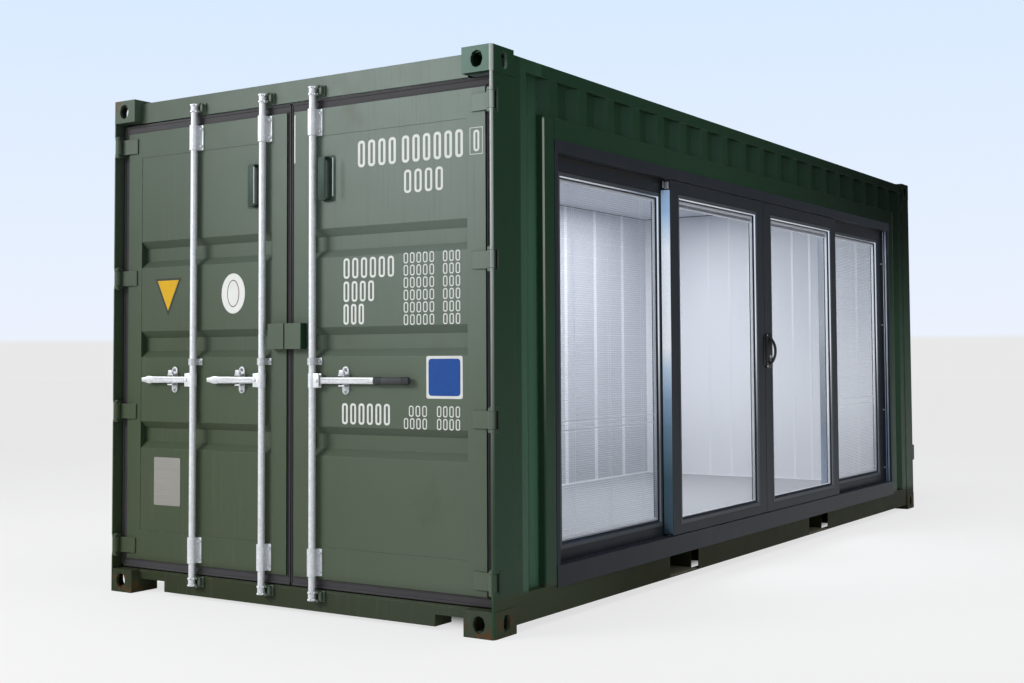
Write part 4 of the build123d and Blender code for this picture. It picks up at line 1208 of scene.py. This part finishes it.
# Joint strips of the lining, a skirting and a shadow gap round the room
strips = bmesh.new()
strip_thick = 0.002
strip_z = (0.196, 2.444)
board_width = 0.480
for i in range(12):
    x = about(2.490 - i * board_width, 0.024)
    block(strips, x, (room_back - strip_thick, room_back), strip_z, 0.0006, 1)
for y in (0.900, 0.515, 0.318, 0.130, -0.255, -0.407, -0.805):
    block(strips, (room_front - strip_thick, room_front), about(y, 0.010), strip_z, 0.0006, 1)


def round_room(mesh, thick, z, radius=0.0):
    """A strip along the back wall and the closed end."""
    block(mesh, (room_rear, room_front), (room_back - thick, room_back), z, radius, 1)
    block(mesh, (room_front - thick, room_front), (room_glazed, room_back - thick), z, radius, 1)


round_room(strips, 0.006, (0.188, 0.200), 0.002)
piece("lining_joint_strips", strips, joint_white, "container")
shadow = bmesh.new()
round_room(shadow, 0.003, (2.4445, 2.4500))
piece("ceiling_shadow_gap", shadow, grip_plastic, "container")


# Signs: a triangle, an oval, a data plate and a square, all bare
def sign(name, finish, outline, thickness, body):
    """A thin plate cut to an outline of y and z on the leaf."""
    mesh = bmesh.new()
    verts = [mesh.verts.new((panel_face - 0.0002, y, z)) for y, z in outline]
    face = mesh.faces.new(verts)
    done = bmesh.ops.extrude_face_region(mesh, geom=[face])
    far = [item for item in done["geom"] if isinstance(item, bmesh.types.BMVert)]
    bmesh.ops.translate(mesh, verts=far, vec=(-thickness, 0, 0))
    bmesh.ops.recalc_face_normals(mesh, faces=list(mesh.faces))
    piece(name, mesh, finish, body)


def triangle(half, top, point):
    middle = 0.850
    return [(middle + half, top), (middle, point), (middle - half, top)]


def oval(wide, tall, steps=40):
    y, z = 0.3835, 1.543
    return [(y + wide / 2 * cos(tau * i / steps), z + tall / 2 * sin(tau * i / steps)) for i in range(steps)]


def rounded_plate(y, z, wide, tall, radius):
    return [(y + a, z + b) for a, b, _ in ring_points(wide, tall, radius)]


data_plate = rounded_plate(0.8495, 0.5835, 0.193, 0.247, 0.008)
square_border = rounded_plate(-0.922, 1.127, 0.201, 0.192, 0.010)
square_field = rounded_plate(-0.922, 1.127, 0.176, 0.167, 0.016)
triangle_edge = triangle(0.098, 1.636, 1.440)
triangle_field = triangle(0.078, 1.6245, 1.468)
sign("triangle_sign_edge", dark_lines, triangle_edge, 0.0005, "left_door")
sign("yellow_triangle_sign", yellow_sign, triangle_field, 0.0009, "left_door")
sign("white_oval_sign", white_marks, oval(0.161, 0.202), 0.0005, "left_door")
sign("oval_sign_ring", brown_lines, oval(0.084, 0.138), 0.0008, "left_door")
sign("oval_sign_middle", white_marks, oval(0.073, 0.127), 0.0011, "left_door")
sign("bare_data_plate", plate_metal, data_plate, 0.0012, "left_door")
sign("square_sign_border", white_marks, square_border, 0.0006, "right_door")
sign("square_sign_field", blue_sign, square_field, 0.0010, "right_door")

# Grab handles: a dark back plate, a painted bow and a painted highlight along one edge
grab_highlight_edges = {"left_door": (0.2072, 0.2112), "right_door": (-0.303, -0.299)}
for leaf, side in leaves.items():
    backing = bmesh.new()
    slab(backing, facing((panel_face, side * 0.246, 2.0735), (-1, 0, 0)), 0.078, 0.222, 0.0016, 0.010)
    block(backing, (rear + 0.0116, rear + 0.0185), span(side, 0.2095, 0.2505), (1.976, 2.171), 0.0025)
    piece(f"{leaf}_grab_backing", backing, handle_teal, leaf)
    rim = bmesh.new()
    block(rim, (rear + 0.0108, rear + 0.0172), grab_highlight_edges[leaf], (1.982, 2.165), 0.001)
    piece(f"{leaf}_grab_edge_highlight", rim, edge_highlight_paint, leaf)

# A painted highlight: a white strip on the right leaf's meeting edge
edge_highlight_strip = bmesh.new()
block(edge_highlight_strip, (leaf_face - 0.0008, leaf_face + 0.0004), (-0.0245, -0.0315), (2.165, 2.400), 0.0003, 1)
piece("leaf_edge_highlight", edge_highlight_strip, white_marks, "right_door")


# Studio: a pale floor and sky, soft lamps by the doors and over the roof, and one in the cabin
def studio_floor():
    """A matt floor that glows pale to the eye, but not under the container."""
    f = Finish("studio_floor")
    _, seen = f.rays()
    away = f.node("ShaderNodeVectorMath", {0: f.place}, operation="LENGTH").outputs["Value"]
    far = f.steps(away, 3.5, 12.0)
    matt = f.node("ShaderNodeBsdfDiffuse", {"Color": colour(0.80, 0.80, 0.80)}).outputs[0]
    pale = f.mixed(far, colour(0.95, 0.95, 0.95), colour(0.80, 0.80, 0.80))
    glow = f.node("ShaderNodeEmission", {"Color": pale, "Strength": 1.0}).outputs[0]
    along, across = (f.calc("ABSOLUTE", f.axis(number)) for number in (0, 1))
    beneath = f.product(f.steps(along, 2.9, 2.6), f.steps(across, 1.10, 0.90))
    share = f.calc("ADD", 0.74, f.product(far, 0.26))
    share = f.product(share, f.calc("SUBTRACT", 1.0, beneath))
    return f.blended(f.product(seen, share), matt, glow)


ground = bmesh.new()
bmesh.ops.create_grid(ground, x_segments=1, y_segments=1, size=60)
ground_data = bpy.data.meshes.new("studio_floor")
ground.to_mesh(ground_data)
ground.free()
ground_data.materials.append(studio_floor())
ground_object = bpy.data.objects.new("studio_floor", ground_data)
bpy.context.scene.collection.objects.link(ground_object)


def studio_world():
    """An even light, with a pale sky for the camera, mirrors and panes, and a dark flag at one side."""
    world = bpy.data.worlds.new("studio")
    bpy.context.scene.world = world
    world.use_nodes = True
    w = Nodes(world.node_tree)
    look = w.node("ShaderNodeTexCoord").outputs["Generated"]
    parts = w.node("ShaderNodeSeparateXYZ", {"Vector": look}).outputs
    sky = w.ramp(parts[2], (
        (0.0139, (0.81, 0.81, 0.81)), (0.0141, (0.838, 0.887, 0.99)), (0.26, (0.69, 0.83, 1.0)),
    ))
    heading = w.calc("ARCTAN2", parts[1], parts[0])
    flag = w.product(w.steps(heading, radians(-80), radians(-50)), w.steps(heading, radians(15), radians(0)))
    camera_ray, seen = w.rays()
    light = w.mixed(seen, colour(0.50, 0.51, 0.54), sky)
    shade = w.product(flag, w.calc("SUBTRACT", 1.0, camera_ray))
    light = w.over(light, shade, (0.05, 0.05, 0.055))
    back = w.node("ShaderNodeBackground", {"Color": light, "Strength": 1.0}).outputs[0]
    w.node("ShaderNodeOutputWorld", {"Surface": back})


def soft_lamp(name, at, towards, size, power):
    """A white rectangular lamp that looks at a place."""
    data = bpy.data.lights.new(name, "AREA")
    data.shape = "RECTANGLE"
    data.size, data.size_y = size
    data.energy = power
    lamp = bpy.data.objects.new(name, data)
    bpy.context.scene.collection.objects.link(lamp)
    lamp.matrix_world = facing(at, Vector(at) - Vector(towards))


studio_world()
soft_lamp("door_end_lamp", (-9.0, 4.2, 4.4), (-3.0, 0.2, 1.3), (3.6, 2.6), 430)
soft_lamp("roof_lamp", (-1.0, -1.5, 8.0), (0, 0, 1.0), (5.0, 4.0), 260)
soft_lamp("cabin_lamp", (0, 0.1, 2.43), (0, 0.1, 0), (4.6, 1.4), 92)

# Camera at the photograph's place, with the turns and the focal length in pixels that were solved for it
photo_width = 1024
focal_pixels = 1356.22
camera_place = (-7.910774, -4.497593, 1.210617)
turn_to_the_right = 0.99361626
tilt_up = 0.0463239
roll = -0.0053426
camera_data = bpy.data.cameras.new("camera")
camera_data.sensor_width = 36
camera_data.lens = camera_data.sensor_width * focal_pixels / photo_width
camera_data.shift_y = -0.045
camera_data.clip_end = 200
camera = bpy.data.objects.new("camera", camera_data)
bpy.context.scene.collection.objects.link(camera)
heading = Matrix.Rotation(-turn_to_the_right, 4, "Z") @ Matrix.Rotation(pi / 2 + tilt_up, 4, "X")
camera.matrix_world = Matrix.Translation(camera_place) @ heading @ Matrix.Rotation(roll, 4, "Z")
bpy.context.scene.camera = camera
bpy.context.scene.view_settings.view_transform = "Standard"
